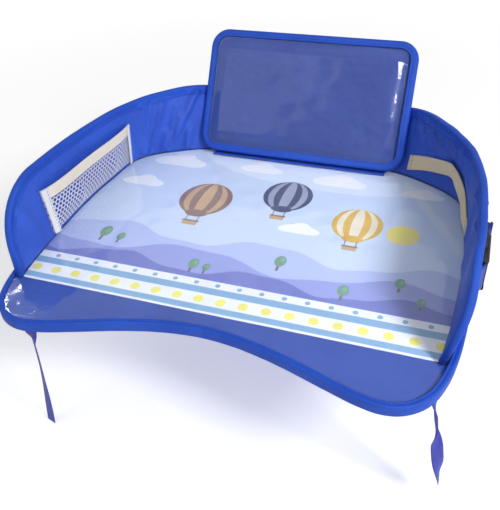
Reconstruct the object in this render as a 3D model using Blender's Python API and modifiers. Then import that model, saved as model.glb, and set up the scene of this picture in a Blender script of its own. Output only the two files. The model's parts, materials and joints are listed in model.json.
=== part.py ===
# Car seat tray table: a padded table with a soft wall round its back and sides, a leaning
# holder, a net pocket, a cup strap, a seat strap with a side-release buckle and two ties.
# X runs to the right, Y from the child towards the back of the table, Z up.
# The origin is on the underside, in the middle of the table.

import math

import bmesh
import bpy
import numpy as np
from mathutils import Vector

MM = 0.001

# Clearances shared by all pieces
GAP = 0.3 * MM
CUT_OVERRUN = 2.0 * MM

# Table base
BASE_WIDTH = 400.0 * MM
BASE_DEPTH = 340.0 * MM
BELLY_DEPTH = 32.5 * MM
COVER_THICKNESS = 0.6 * MM
BASE_BOARD_THICKNESS = 2.0 * MM
BASE_FOAM_THICKNESS = 2.4 * MM
PLAY_SHEET_THICKNESS = 0.4 * MM
FILM_THICKNESS = 0.5 * MM
INNER_MARGIN = 9.0 * MM
PRINT_FRONT = 53.0 * MM

# Edge binding: a tape folded over the edge of the base
BINDING_THICKNESS = 1.0 * MM
EDGE_LAP = 5.4 * MM
EDGE_ROUND = 1.5 * MM

# Seam lines: outside them the sewing presses the clear film and the bottom cover a little thinner
SEAM_MARGIN = 1.0 * MM
SEAM_PRESS = 0.1 * MM
SEAM_BOW_SHARE = 0.02

# Wall: its slant height and how far it leans out at the sides and at the back
WALL_LEDGE = 7.6 * MM
WALL_HEIGHT = 71.0 * MM
WALL_BACK_DROP = 10.0 * MM
WALL_END_SETBACK = 55.0 * MM
WALL_RISE_LENGTH = 62.0 * MM
WALL_FABRIC_THICKNESS = 0.8 * MM
WALL_FOAM_THICKNESS = 3.0 * MM
WALL_START = 3.0 * MM
RIM_LAP = 8.0 * MM
RIM_THICKNESS = 0.9 * MM

# Net pocket on the left wall
POCKET_FRONT_Y = -57.0 * MM
POCKET_REAR_Y = 91.0 * MM
POCKET_HEIGHT = 47.0 * MM
POCKET_FOOT = 3.0 * MM
POCKET_BULGE = 7.5 * MM
NET_THICKNESS = 0.6 * MM
NET_STRAND = 1.1 * MM
NET_COLUMNS = 22
NET_ROWS = 8
POCKET_ELASTIC_WIDTH = 12.0 * MM
POCKET_ELASTIC_THICKNESS = 1.0 * MM
POCKET_TAPE_WIDTH = 7.0 * MM
POCKET_TAPE_THICKNESS = 0.6 * MM

# Cup strap in the right back corner
CUP_STRAP_WIDTH = 15.0 * MM
CUP_STRAP_THICKNESS = 1.2 * MM
CUP_STRAP_SEAM = 7.0 * MM
CUP_STRAP_BACK_X = 119.0 * MM
CUP_STRAP_SIDE_Y = 38.0 * MM
CUP_STRAP_SLACK = 11.0 * MM
CUP_STRAP_BACK_HEIGHT = 18.0 * MM
CUP_STRAP_SIDE_HEIGHT = 13.0 * MM
CUP_STRAP_CORNER_RISE = 13.0 * MM

# Holder
HOLDER_WIDTH = 228.0 * MM
HOLDER_HEIGHT = 134.0 * MM
HOLDER_CORNER_RADIUS = 20.0 * MM
HOLDER_SETBACK = 36.0 * MM
HOLDER_FABRIC_THICKNESS = 0.8 * MM
HOLDER_BOARD_THICKNESS = 2.0 * MM
HOLDER_BOARD_MARGIN = 4.0 * MM
HOLDER_BINDING_THICKNESS = 0.9 * MM
HOLDER_LAP = 8.0 * MM
POCKET_ROOM = 9.0 * MM
WINDOW_SLOPE = 15.0 * MM
HINGE_STRIP_DEPTH = 18.0 * MM
HINGE_STRIP_THICKNESS = 0.8 * MM
HINGE_STRIP_MARGIN = 6.0 * MM

# Seat strap and its anchors
WEBBING_WIDTH = 25.0 * MM
WEBBING_THICKNESS = 1.4 * MM
STRAP_HEIGHT = 19.5 * MM
ANCHOR_STITCHED = 26.0 * MM
LEFT_ANCHOR_Y = -48.0 * MM
STRAP_EASE = 14.0 * MM

# Side-release buckle for the webbing above, its mouth at this place along the right wall
BUCKLE_MOUTH_Y = 5.0 * MM
BUCKLE_STANDOFF = 1.6 * MM
BUCKLE_THICKNESS = 9.0 * MM
BUCKLE_WALL = 2.0 * MM
BUCKLE_ROUND = 1.2 * MM
SOCKET_LENGTH = 38.0 * MM
SOCKET_CAVITY = 25.0 * MM
SOCKET_WINDOW_LENGTH = 11.5 * MM
SOCKET_WINDOW_SETBACK = 10.0 * MM
WEB_SLOT = 4.4 * MM
WEB_BAR = 3.6 * MM
WEB_BAR_THICKNESS = 3.0 * MM
WEB_SIDE_CLEARANCE = 0.6 * MM
TONGUE_LENGTH = 18.0 * MM
TONGUE_THICKNESS = 4.2 * MM
GUIDE_LENGTH = 21.0 * MM
GUIDE_WIDTH = 4.0 * MM
ARM_WIDTH = 2.6 * MM
ARM_OFFSET = 10.0 * MM
ARM_LENGTH = 22.5 * MM
ARM_CATCH_CLEARANCE = 0.5 * MM
ARM_PAD_PROUD = 1.4 * MM

# Tail of the seat strap, folded down over the end of the loop through the tongue
TAIL_LENGTH = 58.0 * MM
TAIL_SETBACK = 3.0 * MM
STRAP_STEPS = 44

# Ties sewn under the edge binding at the front corners
TIE_WIDTH = 10.0 * MM
TIE_THICKNESS = 0.7 * MM
LEFT_TIE_SHARE = 0.7
RIGHT_TIE_SHARE = 0.91
LEFT_TIE_LENGTH = 120.0 * MM
RIGHT_TIE_LENGTH = 92.0 * MM
LEFT_TIE_SWAY = 12.0 * MM
RIGHT_TIE_SWAY = 14.0 * MM
TIE_TWIST = math.radians(40.0)
TIE_STEPS = 10

# Sampling of the smooth outlines
OUTLINE_SAMPLES = 84
DENSE_SAMPLES = 960
WALL_STEPS = 60
WALL_ROWS = 3
WALL_END_STEPS = 7

# Half outline of the base, counter-clockwise from the middle of the belly edge.
# Front part: share of the half width, and share of the belly depth.
BELLY_EDGE_SHARES = (
    (0.0, 1.0),
    (0.215, 0.846),
    (0.365, 0.6),
    (0.6, 0.123),
    (0.788, 0.0),
)
# Sides and back: share of the half width, and share of the half depth.
SIDE_EDGE_SHARES = (
    (0.885, -0.9265),
    (0.945, -0.785),
    (0.98, -0.562),
    (0.995, -0.303),
    (1.0, 0.138),
    (0.98, 0.406),
    (0.933, 0.65),
    (0.769, 0.818),
    (0.605, 0.912),
    (0.42, 0.969),
)

# How far the wall leans out, by the way it faces: degrees from the side towards the back,
# and degrees out of the upright. The corners stand in a little and the back leans out.
WALL_LEAN_DEGREES = (
    (0.0, 3.0),
    (34.0, -3.5),
    (44.0, -3.0),
    (80.0, 31.0),
    (90.0, 31.0),
)

# Heights of the layers, worked out from the thicknesses
BOTTOM_COVER_Z = 0.0
BOARD_Z = BOTTOM_COVER_Z + COVER_THICKNESS + GAP
FOAM_Z = BOARD_Z + BASE_BOARD_THICKNESS + GAP
TOP_COVER_Z = FOAM_Z + BASE_FOAM_THICKNESS + GAP
PLAY_SHEET_Z = TOP_COVER_Z + COVER_THICKNESS + GAP
FILM_Z = PLAY_SHEET_Z + PLAY_SHEET_THICKNESS + GAP
TABLE_TOP_Z = FILM_Z + FILM_THICKNESS
WALL_FOOT_Z = TABLE_TOP_Z + GAP
LAYER_INSET = BINDING_THICKNESS + 2 * GAP

# The wall's layers, measured inwards from its outer face
WALL_OUTER_MID = WALL_FABRIC_THICKNESS / 2
WALL_FOAM_MID = WALL_FABRIC_THICKNESS + GAP + WALL_FOAM_THICKNESS / 2
WALL_INNER_MID = WALL_FABRIC_THICKNESS + 2 * GAP + WALL_FOAM_THICKNESS + WALL_FABRIC_THICKNESS / 2
WALL_THICKNESS = WALL_INNER_MID + WALL_FABRIC_THICKNESS / 2
RIM_HALF_WIDTH = WALL_THICKNESS / 2 + 2 * GAP + RIM_THICKNESS / 2
WALL_INNER_FACE = WALL_LEDGE + WALL_THICKNESS
PRINT_FRONT_Y = -BASE_DEPTH / 2 + PRINT_FRONT
WALL_END_Y = -BASE_DEPTH / 2 + WALL_END_SETBACK

# The holder's layers, measured from its front towards its back
HOLDER_WINDOW_FRONT = HOLDER_BINDING_THICKNESS + GAP
HOLDER_LINING_FRONT = HOLDER_WINDOW_FRONT + FILM_THICKNESS + GAP
HOLDER_BOARD_FRONT = HOLDER_LINING_FRONT + HOLDER_FABRIC_THICKNESS + GAP
HOLDER_BACK_FRONT = HOLDER_BOARD_FRONT + HOLDER_BOARD_THICKNESS + GAP
HOLDER_THICKNESS = HOLDER_BACK_FRONT + HOLDER_FABRIC_THICKNESS + GAP + HOLDER_BINDING_THICKNESS
HOLDER_SHEET_INSET = HOLDER_BINDING_THICKNESS + 4 * GAP
HOLDER_FRONT_Y = BASE_DEPTH / 2 - HOLDER_SETBACK
HOLDER_BACK_EDGE_Z = TABLE_TOP_Z + HINGE_STRIP_THICKNESS + 2 * GAP

# The strap and buckle
STRAP_CENTRE_Z = WALL_FOOT_Z + STRAP_HEIGHT
BUCKLE_HALF_HEIGHT = WEBBING_WIDTH / 2 + WEB_SIDE_CLEARANCE + BUCKLE_WALL + GAP
FIRST_LAYER = GAP + WEBBING_THICKNESS / 2
SECOND_LAYER = FIRST_LAYER + WEBBING_THICKNESS + GAP

# The ties hang from the middle of the binding's lower lap
TIE_INSET = EDGE_LAP / 2
TIE_TOP_Z = BOTTOM_COVER_Z - 2 * GAP - BINDING_THICKNESS

# Colours of the finishes: base colour, roughness, metallic
FINISHES = {
    "blue_cloth": ((0.03, 0.12, 0.62), 0.75, 0.0),
    "blue_tape": ((0.025, 0.13, 0.66), 0.6, 0.0),
    "blue_webbing": ((0.03, 0.09, 0.5), 0.7, 0.0),
    "print": ((0.55, 0.75, 0.9), 0.6, 0.0),
    "clear_film": ((0.85, 0.9, 1.0), 0.1, 0.0),
    "foam": ((0.85, 0.85, 0.83), 0.9, 0.0),
    "board": ((0.2, 0.2, 0.22), 0.6, 0.0),
    "net": ((0.9, 0.9, 0.93), 0.7, 0.0),
    "cream_elastic": ((0.9, 0.82, 0.66), 0.8, 0.0),
    "ribbon": ((0.12, 0.13, 0.72), 0.5, 0.0),
    "black_plastic": ((0.015, 0.015, 0.018), 0.35, 0.0),
}


def clear_scene():
    """Remove what the scene holds."""
    for obj in list(bpy.data.objects):
        bpy.data.objects.remove(obj, do_unlink=True)


def new_collection(name):
    """Make a collection in the scene."""
    collection = bpy.data.collections.new(name)
    bpy.context.scene.collection.children.link(collection)
    return collection


def finish(name):
    """Give the material of that name, made on first use."""
    material = bpy.data.materials.get(name)
    if material:
        return material
    colour, roughness, metallic = FINISHES[name]
    material = bpy.data.materials.new(name)
    material.use_nodes = True
    shader = material.node_tree.nodes["Principled BSDF"]
    shader.inputs["Base Color"].default_value = (*colour, 1.0)
    shader.inputs["Roughness"].default_value = roughness
    shader.inputs["Metallic"].default_value = metallic
    return material


def place(name, data, material, parent=None):
    """Put an object with this data into the part's collection."""
    obj = bpy.data.objects.new(name, data)
    data.materials.append(finish(material))
    PARTS.objects.link(obj)
    obj.parent = parent
    return obj


def place_guide(name, data):
    """Put a cutter or guide into its own collection, out of the render."""
    obj = bpy.data.objects.new(name, data)
    GUIDES.objects.link(obj)
    obj.hide_render = True
    obj.display_type = "WIRE"
    return obj


def add_solidify(obj, thickness):
    """Thicken an open surface evenly to both sides."""
    solidify = obj.modifiers.new("thickness", "SOLIDIFY")
    solidify.thickness = thickness
    solidify.offset = 0.0
    solidify.use_even_offset = True


def add_bevel(obj, width, segments=1):
    """Round the edges of a solid."""
    bevel = obj.modifiers.new("rounded edges", "BEVEL")
    bevel.width = width
    bevel.segments = segments
    bevel.limit_method = "ANGLE"


def closed_spline(knots, samples):
    """Points at even steps along the smooth closed curve through the knots."""
    knots = np.array(knots)
    count = len(knots)
    steps = np.linalg.norm(np.roll(knots, -1, axis=0) - knots, axis=1)
    system = np.zeros((count, count))
    right = np.zeros_like(knots)
    for i in range(count):
        before, after = steps[i - 1], steps[i]
        system[i, i - 1] = 1 / before
        system[i, i] = 2 / before + 2 / after
        system[i, (i + 1) % count] = 1 / after
        right[i] = 3 * ((knots[i] - knots[i - 1]) / before ** 2 + (knots[(i + 1) % count] - knots[i]) / after ** 2)
    slopes = np.linalg.solve(system, right)
    dense = []
    per_span = samples
    for i in range(count):
        j = (i + 1) % count
        t = np.linspace(0, 1, per_span, endpoint=False)[:, None]
        dense.append(
            (2 * t ** 3 - 3 * t ** 2 + 1) * knots[i]
            + (t ** 3 - 2 * t ** 2 + t) * steps[i] * slopes[i]
            + (3 * t ** 2 - 2 * t ** 3) * knots[j]
            + (t ** 3 - t ** 2) * steps[i] * slopes[j]
        )
    dense = np.vstack(dense)
    closed = np.vstack([dense, dense[:1]])
    lengths = np.concatenate([[0], np.cumsum(np.linalg.norm(np.diff(closed, axis=0), axis=1))])
    targets = np.linspace(0, lengths[-1], samples, endpoint=False)
    return np.stack([np.interp(targets, lengths, closed[:, axis]) for axis in (0, 1)], axis=1)


def base_knots():
    """Knots of the base outline, from the shares of its named sizes."""
    half_width = BASE_WIDTH / 2
    half_depth = BASE_DEPTH / 2
    half = [(x * half_width, -half_depth + depth * BELLY_DEPTH) for x, depth in BELLY_EDGE_SHARES]
    half += [(x * half_width, y * half_depth) for x, y in SIDE_EDGE_SHARES]
    back = [(0.0, half_depth)]
    mirrored = [(-x, y) for x, y in reversed(half[1:])]
    return half + back + mirrored


def outward_normals(points):
    """Unit normals of a closed counter-clockwise outline, pointing out."""
    along = np.roll(points, -1, axis=0) - np.roll(points, 1, axis=0)
    along /= np.linalg.norm(along, axis=1)[:, None]
    return np.stack([along[:, 1], -along[:, 0]], axis=1)


def plan_at(place_along, inset):
    """Point and outward normal at a place along the outline, moved inwards."""
    position = (place_along % 1.0) * DENSE_SAMPLES
    index = int(position) % DENSE_SAMPLES
    share = position - int(position)
    after = (index + 1) % DENSE_SAMPLES
    point = OUTLINE[index] * (1 - share) + OUTLINE[after] * share
    normal = NORMALS[index] * (1 - share) + NORMALS[after] * share
    normal = normal / np.linalg.norm(normal)
    return point - normal * inset, normal


def inset_outline(inset, samples=OUTLINE_SAMPLES):
    """The base outline moved inwards, at even places along it."""
    return [plan_at(i / samples, inset)[0] for i in range(samples)]


def place_at_y(y, right_side, inset=0.0):
    """Place along the outline where the right or left side passes this y."""
    low, high = 0.1, 0.5
    for _ in range(40):
        middle = (low + high) / 2
        if plan_at(middle, inset)[0][1] < y:
            low = middle
        else:
            high = middle
    return low if right_side else 1.0 - low


def place_at_x(x, inset):
    """Place along the right half of the back where the inset outline passes this x."""
    low, high = place_at_y(0.0, True, inset), 0.5
    for _ in range(40):
        middle = (low + high) / 2
        if plan_at(middle, inset)[0][0] > x:
            low = middle
        else:
            high = middle
    return low


def flat_slab(name, outline, bottom, thickness, material, parent=None):
    """A sheet cut to an outline: a filled flat curve, extruded by half its thickness each way."""
    curve = bpy.data.curves.new(name, "CURVE")
    curve.dimensions = "2D"
    curve.fill_mode = "BOTH"
    curve.extrude = thickness / 2
    spline = curve.splines.new("POLY")
    spline.points.add(len(outline) - 1)
    for point, (x, y) in zip(spline.points, outline):
        point.co = (x, y, 0.0, 1.0)
    spline.use_cyclic_u = True
    obj = place(name, curve, material, parent)
    obj.location.z = bottom + thickness / 2
    return obj


def sewn_sheet(name, seam, bottom, thickness, upward, material):
    """A sheet whose margin, outside its seam line, is pressed thinner on its free side."""
    outline = inset_outline(LAYER_INSET)
    free = bottom + thickness if upward else bottom
    pressed = free - SEAM_PRESS if upward else free + SEAM_PRESS
    far = bottom if upward else bottom + thickness
    mesh = bpy.data.meshes.new(name)
    work = bmesh.new()
    loops = ((outline, far), (outline, pressed), (seam, pressed), (seam, free))
    rings = [[work.verts.new((x, y, z)) for x, y in loop] for loop, z in loops]
    for ring, after in zip(rings, rings[1:]):
        for i in range(len(ring)):
            work.faces.new((ring[i - 1], ring[i], after[i], after[i - 1]))
    work.faces.new(rings[0])
    work.faces.new(rings[-1])
    bmesh.ops.recalc_face_normals(work, faces=work.faces)
    work.to_mesh(mesh)
    work.free()
    return place(name, mesh, material)


def film_seam():
    """The clear film's seam line: by the foot of the wall, and in front of the holder's hem."""
    rear = HOLDER_FRONT_Y - 2 * SEAM_MARGIN
    seam = []
    for x, y in inset_outline(WALL_INNER_FACE + SEAM_MARGIN):
        seam.append((x, min(y, rear + (y - rear) * SEAM_BOW_SHARE)))
    return seam


def loft(name, rows, thickness, material, parent=None, closed=False):
    """A sheet through rows of points, made solid. Each row has as many points."""
    mesh = bpy.data.meshes.new(name)
    work = bmesh.new()
    grid = [[work.verts.new(point) for point in row] for row in rows]
    last = len(grid) if closed else len(grid) - 1
    for i in range(last):
        row, after = grid[i], grid[(i + 1) % len(grid)]
        for j in range(len(row) - 1):
            work.faces.new((row[j], row[j + 1], after[j + 1], after[j]))
    bmesh.ops.recalc_face_normals(work, faces=work.faces)
    work.to_mesh(mesh)
    work.free()
    mesh.shade_smooth()
    mesh.set_sharp_from_angle(angle=math.radians(35))
    obj = place(name, mesh, material, parent)
    add_solidify(obj, thickness)
    return obj


def build_base():
    """The flat layers of the table, one above another."""
    whole = inset_outline(LAYER_INSET)
    inner = inset_outline(INNER_MARGIN)
    under_seam = inset_outline(EDGE_LAP + SEAM_MARGIN)
    sewn_sheet("bottom_cover", under_seam, BOTTOM_COVER_Z, COVER_THICKNESS, False, "blue_cloth")
    flat_slab("base_board", inner, BOARD_Z, BASE_BOARD_THICKNESS, "board")
    flat_slab("base_foam", inner, FOAM_Z, BASE_FOAM_THICKNESS, "foam")
    flat_slab("top_cover", whole, TOP_COVER_Z, COVER_THICKNESS, "blue_cloth")
    sewn_sheet("clear_cover", film_seam(), FILM_Z, FILM_THICKNESS, True, "clear_film")
    within = [tuple(point) for point in inset_outline(WALL_INNER_FACE) if point[1] > PRINT_FRONT_Y + GAP]
    front_right = plan_at(place_at_y(PRINT_FRONT_Y, True, WALL_INNER_FACE), WALL_INNER_FACE)[0]
    corners = [(-front_right[0], PRINT_FRONT_Y), (front_right[0], PRINT_FRONT_Y)]
    flat_slab("play_sheet", within + corners, PLAY_SHEET_Z, PLAY_SHEET_THICKNESS, "print")


def u_section(half_width, lap):
    """Section of a tape folded over an edge: across the edge, and out over it."""
    return (
        (-half_width, -lap),
        (-half_width, 0.0),
        (-0.72 * half_width, 0.62 * half_width),
        (0.0, 0.85 * half_width),
        (0.72 * half_width, 0.62 * half_width),
        (half_width, 0.0),
        (half_width, -lap),
    )


def build_edge_binding():
    """The tape round the base, folded over its edge."""
    top = TABLE_TOP_Z + GAP + BINDING_THICKNESS / 2
    low = -GAP - BINDING_THICKNESS / 2
    side = BINDING_THICKNESS / 2
    section = (
        (EDGE_LAP, top),
        (side + EDGE_ROUND, top),
        (side + 0.29 * EDGE_ROUND, top - 0.29 * EDGE_ROUND),
        (side, top - EDGE_ROUND),
        (side, low + EDGE_ROUND),
        (side + 0.29 * EDGE_ROUND, low + 0.29 * EDGE_ROUND),
        (side + EDGE_ROUND, low),
        (EDGE_LAP, low),
    )
    rows = []
    for i in range(OUTLINE_SAMPLES):
        row = []
        for inset, z in section:
            point, _ = plan_at(i / OUTLINE_SAMPLES, inset)
            row.append((point[0], point[1], z))
        rows.append(row)
    loft("edge_binding", rows, BINDING_THICKNESS, "blue_tape", closed=True)


def wall_height(distance):
    """Slant height of the wall at a distance along it from its nearer end."""
    share = min(distance / WALL_RISE_LENGTH, 1.0)
    return WALL_HEIGHT * math.sqrt(max(1 - (1 - share) ** 2, 0.0))


def wall_stations():
    """Places along the outline for the wall's columns, with the distance from its nearer end."""
    start = place_at_y(WALL_END_Y, True, WALL_LEDGE)
    whole = (1 - 2 * start) * OUTLINE_LENGTH
    rise_share = WALL_RISE_LENGTH / whole
    shares = [rise_share * (1 - math.cos(math.pi / 2 * i / WALL_END_STEPS)) for i in range(1, WALL_END_STEPS)]
    shares[0] = WALL_START / whole
    middle = [rise_share + (1 - 2 * rise_share) * i / WALL_STEPS for i in range(WALL_STEPS + 1)]
    shares = shares + middle + [1 - share for share in reversed(shares)]
    return [(start + share * (1 - 2 * start), min(share, 1 - share) * whole) for share in shares]


def lean_at(place_along):
    """How far the wall leans out at a place along the outline, with the share of that at the back."""
    normal = plan_at(place_along, 0.0)[1]
    facing = math.degrees(math.atan2(max(normal[1], 0.0), abs(normal[0])))
    for (first, low), (last, high) in zip(WALL_LEAN_DEGREES, WALL_LEAN_DEGREES[1:]):
        if facing <= last:
            share = (facing - first) / (last - first)
            share = share * share * (3 - 2 * share)
            break
    lean = low + (high - low) * share
    side, back = WALL_LEAN_DEGREES[0][1], WALL_LEAN_DEGREES[-1][1]
    return math.radians(lean), max((lean - side) / (back - side), 0.0)


def outer_face(place_along, run):
    """Point of the wall's outer face, this far up its slant."""
    foot, normal = plan_at(place_along, WALL_LEDGE)
    lean = lean_at(place_along)[0]
    out = run * math.sin(lean)
    return Vector((foot[0] + normal[0] * out, foot[1] + normal[1] * out, WALL_FOOT_Z + run * math.cos(lean)))


def wall_normal(place_along, run):
    """Outward normal of the wall's outer face."""
    step = WALL_START / OUTLINE_LENGTH
    along = outer_face(place_along + step, run) - outer_face(place_along - step, run)
    upward = outer_face(place_along, run + WALL_START) - outer_face(place_along, run)
    return along.cross(upward).normalized()


def wall_point(place_along, distance, share_up, depth, thickness=0.0):
    """A point in the wall: how far along and up it, and how deep from its outer face."""
    lean, backward = lean_at(place_along)
    foot = (thickness / 2 - depth) * math.tan(lean)
    height = wall_height(distance) - WALL_BACK_DROP * backward
    run = foot + (height - foot) * share_up
    return outer_face(place_along, run) - wall_normal(place_along, run) * depth


def build_wall():
    """The wall: two fabrics with a foam sheet between them."""
    layers = (
        ("wall_outer", WALL_OUTER_MID, WALL_FABRIC_THICKNESS, "blue_cloth"),
        ("wall_stiffener", WALL_FOAM_MID, WALL_FOAM_THICKNESS, "foam"),
        ("wall_inner", WALL_INNER_MID, WALL_FABRIC_THICKNESS, "blue_cloth"),
    )
    for name, depth, thickness, material in layers:
        rows = [
            [wall_point(place_along, distance, row / WALL_ROWS, depth, thickness) for row in range(WALL_ROWS + 1)]
            for place_along, distance in wall_stations()
        ]
        loft(name, rows, thickness, material)


def rim_stations():
    """Along the wall's top edge: the place, how far up the slant it is, and the way out over the edge."""
    stations = wall_stations()
    start, end = stations[0][0], stations[-1][0]
    step = WALL_START / OUTLINE_LENGTH
    stations = [(start - step, 0.0)] + stations + [(end + step, 0.0)]
    tops = [wall_height(distance) - WALL_BACK_DROP * lean_at(place_along)[1] for place_along, distance in stations]
    path = [in_wall(place_along, top, 0.5) for (place_along, _), top in zip(stations, tops)]
    rims = []
    for i, (place_along, _) in enumerate(stations):
        along = (path[min(i + 1, len(path) - 1)] - path[max(i - 1, 0)]).normalized()
        if i in (0, len(path) - 1):
            along = Vector((0, 0, 1)) if i == 0 else Vector((0, 0, -1))
        rims.append((place_along, tops[i], wall_normal(place_along, tops[i]).cross(along).normalized()))
    return rims


def in_wall(place_along, run, share_deep):
    """A point in the wall, some share of the way from its outer to its inner face."""
    return outer_face(place_along, run) - wall_normal(place_along, run) * WALL_THICKNESS * share_deep


def over_rim(rim, across, out):
    """A point by the wall's top edge: inwards from the wall's middle, and out over its edge."""
    place_along, top, outward = rim
    if out > 0:
        return in_wall(place_along, top, 0.5) - wall_normal(place_along, top) * across + outward * out
    step = WALL_START / OUTLINE_LENGTH
    here = outer_face(place_along, top)
    along = (outer_face(place_along + step, top) - here) / WALL_START
    upward = (outer_face(place_along, top + WALL_START) - here) / WALL_START
    moves = np.linalg.lstsq(np.array([along, upward]).T, np.array(outward * out), rcond=None)[0]
    place_along += float(moves[0]) / OUTLINE_LENGTH
    top += float(moves[1])
    return in_wall(place_along, top, 0.5) - wall_normal(place_along, top) * across


def build_rim_binding():
    """The tape over the wall's top edge, which runs down both front ends."""
    edge = GAP + RIM_THICKNESS / 2
    section = u_section(RIM_HALF_WIDTH, RIM_LAP)
    rows = [[over_rim(rim, across, out + edge) for across, out in section] for rim in rim_stations()]
    loft("rim_binding", rows, RIM_THICKNESS, "blue_tape")


def pocket_point(along_share, up_share, lift):
    """A point of the net pocket: along and up the left wall, and off its inner face."""
    front = place_at_y(POCKET_FRONT_Y, False, WALL_INNER_FACE)
    rear = place_at_y(POCKET_REAR_Y, False, WALL_INNER_FACE)
    place_along = front + (rear - front) * along_share
    foot = wall_point(place_along, BASE_DEPTH, 0.0, WALL_THICKNESS + lift)
    top = wall_point(place_along, BASE_DEPTH, 1.0, WALL_THICKNESS + lift)
    height = POCKET_FOOT + POCKET_HEIGHT * up_share
    return foot + (top - foot) * height / (top.z - foot.z)


def pocket_lift(along_share, up_share):
    """How far the net stands off the wall, held in at its sides and foot."""
    sides = 1 - abs(2 * along_share - 1) ** 4
    rise = math.sin(math.pi / 2 * min(up_share / 0.45, 1.0))
    return 2 * GAP + NET_THICKNESS / 2 + POCKET_BULGE * sides * rise


def build_net():
    """The pocket's net: one sheet with an opening in each cell, made by insetting the cells."""
    mesh = bpy.data.meshes.new("pocket_net")
    work = bmesh.new()
    top_share = 1 - POCKET_ELASTIC_WIDTH / POCKET_HEIGHT
    grid = []
    for i in range(NET_COLUMNS + 1):
        along = i / NET_COLUMNS
        column = []
        for j in range(NET_ROWS + 1):
            up = top_share * j / NET_ROWS
            column.append(work.verts.new(pocket_point(along, up, pocket_lift(along, up))))
        grid.append(column)
    for i in range(NET_COLUMNS):
        for j in range(NET_ROWS):
            work.faces.new((grid[i][j], grid[i][j + 1], grid[i + 1][j + 1], grid[i + 1][j]))
    bmesh.ops.recalc_face_normals(work, faces=work.faces)
    cells = list(work.faces)
    bmesh.ops.inset_individual(work, faces=cells, thickness=NET_STRAND / 2, use_even_offset=True)
    bmesh.ops.delete(work, geom=cells, context="FACES")
    work.to_mesh(mesh)
    work.free()
    obj = place("pocket_net", mesh, "net")
    add_solidify(obj, NET_THICKNESS)


def build_pocket_trim():
    """The elastic along the net's top and the tapes down its two sides."""
    top_share = 1 - POCKET_ELASTIC_WIDTH / POCKET_HEIGHT
    clear_share = GAP / POCKET_HEIGHT
    rows = []
    for i in range(NET_COLUMNS + 1):
        along = i / NET_COLUMNS
        lift = pocket_lift(along, 1.0) + (POCKET_ELASTIC_THICKNESS - NET_THICKNESS) / 2
        rows.append([pocket_point(along, up, lift) for up in (top_share + clear_share, 1.0)])
    loft("pocket_elastic", rows, POCKET_ELASTIC_THICKNESS, "cream_elastic")
    for name, middle in (("pocket_front_tape", 0.0), ("pocket_rear_tape", 1.0)):
        half = POCKET_TAPE_WIDTH / 2 / (POCKET_REAR_Y - POCKET_FRONT_Y)
        reach = half if middle == 0.0 else -half
        clear = POCKET_ELASTIC_THICKNESS + GAP + POCKET_TAPE_THICKNESS / 2
        rows = []
        for j in range(NET_ROWS + 1):
            up = j / NET_ROWS
            row = []
            for step in (-1, -0.33, 0.33, 1):
                along = middle + reach * step
                over = pocket_lift(min(max(along, 0.0), 1.0), 1.0) + clear
                row.append(pocket_point(along, up, over))
            rows.append(row)
        loft(name, rows, POCKET_TAPE_THICKNESS, "net")


def build_cup_strap():
    """The elastic strap across the right back corner, sewn to the wall at both ends."""
    lift = GAP + CUP_STRAP_THICKNESS / 2
    back = place_at_x(CUP_STRAP_BACK_X, WALL_INNER_FACE)
    side = place_at_y(CUP_STRAP_SIDE_Y, True, WALL_INNER_FACE)
    seam = CUP_STRAP_SEAM / OUTLINE_LENGTH
    steps = 18
    rows = []
    for i in range(steps + 1):
        share = i / steps
        place_along = back + (side - back) * share
        centre_z = TABLE_TOP_Z + CUP_STRAP_BACK_HEIGHT + (CUP_STRAP_SIDE_HEIGHT - CUP_STRAP_BACK_HEIGHT) * share
        centre_z += CUP_STRAP_CORNER_RISE * math.sin(math.pi * share)
        from_end = min(share, 1 - share) * abs(back - side)
        free = max(from_end - seam, 0.0) / (abs(back - side) / 2 - seam)
        stand = lift + CUP_STRAP_SLACK * math.sin(math.pi / 2 * free) ** 2
        row = []
        for edge in (-CUP_STRAP_WIDTH / 2, CUP_STRAP_WIDTH / 2):
            foot = wall_point(place_along, BASE_DEPTH, 0.0, WALL_THICKNESS + stand)
            top = wall_point(place_along, BASE_DEPTH, 1.0, WALL_THICKNESS + stand)
            height = centre_z + edge - foot.z
            row.append(foot + (top - foot) * height / (top.z - foot.z))
        rows.append(row)
    loft("cup_strap", rows, CUP_STRAP_THICKNESS, "cream_elastic")


def holder_outline(inset, steps=5):
    """The holder's outline, a rectangle with round corners, moved inwards by the inset."""
    reach = HOLDER_CORNER_RADIUS - inset
    side = HOLDER_WIDTH / 2 - HOLDER_CORNER_RADIUS
    low, high = HOLDER_CORNER_RADIUS, HOLDER_HEIGHT - HOLDER_CORNER_RADIUS
    outline = []
    for x, z, first in ((side, high, 0.0), (-side, high, 90.0), (-side, low, 180.0), (side, low, 270.0)):
        for step in range(steps + 1):
            angle = math.radians(first + 90.0 * step / steps)
            outline.append((x + reach * math.cos(angle), z + reach * math.sin(angle)))
    return outline


def holder_sheet(name, inset, front, thickness, material, axis):
    """A flat layer of the holder, upright in the holder's own frame."""
    outline = holder_outline(inset)
    obj = flat_slab(name, outline, 0.0, thickness, material, axis)
    obj.location = (0.0, front + thickness / 2, 0.0)
    obj.rotation_euler.x = math.pi / 2
    return obj


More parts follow.
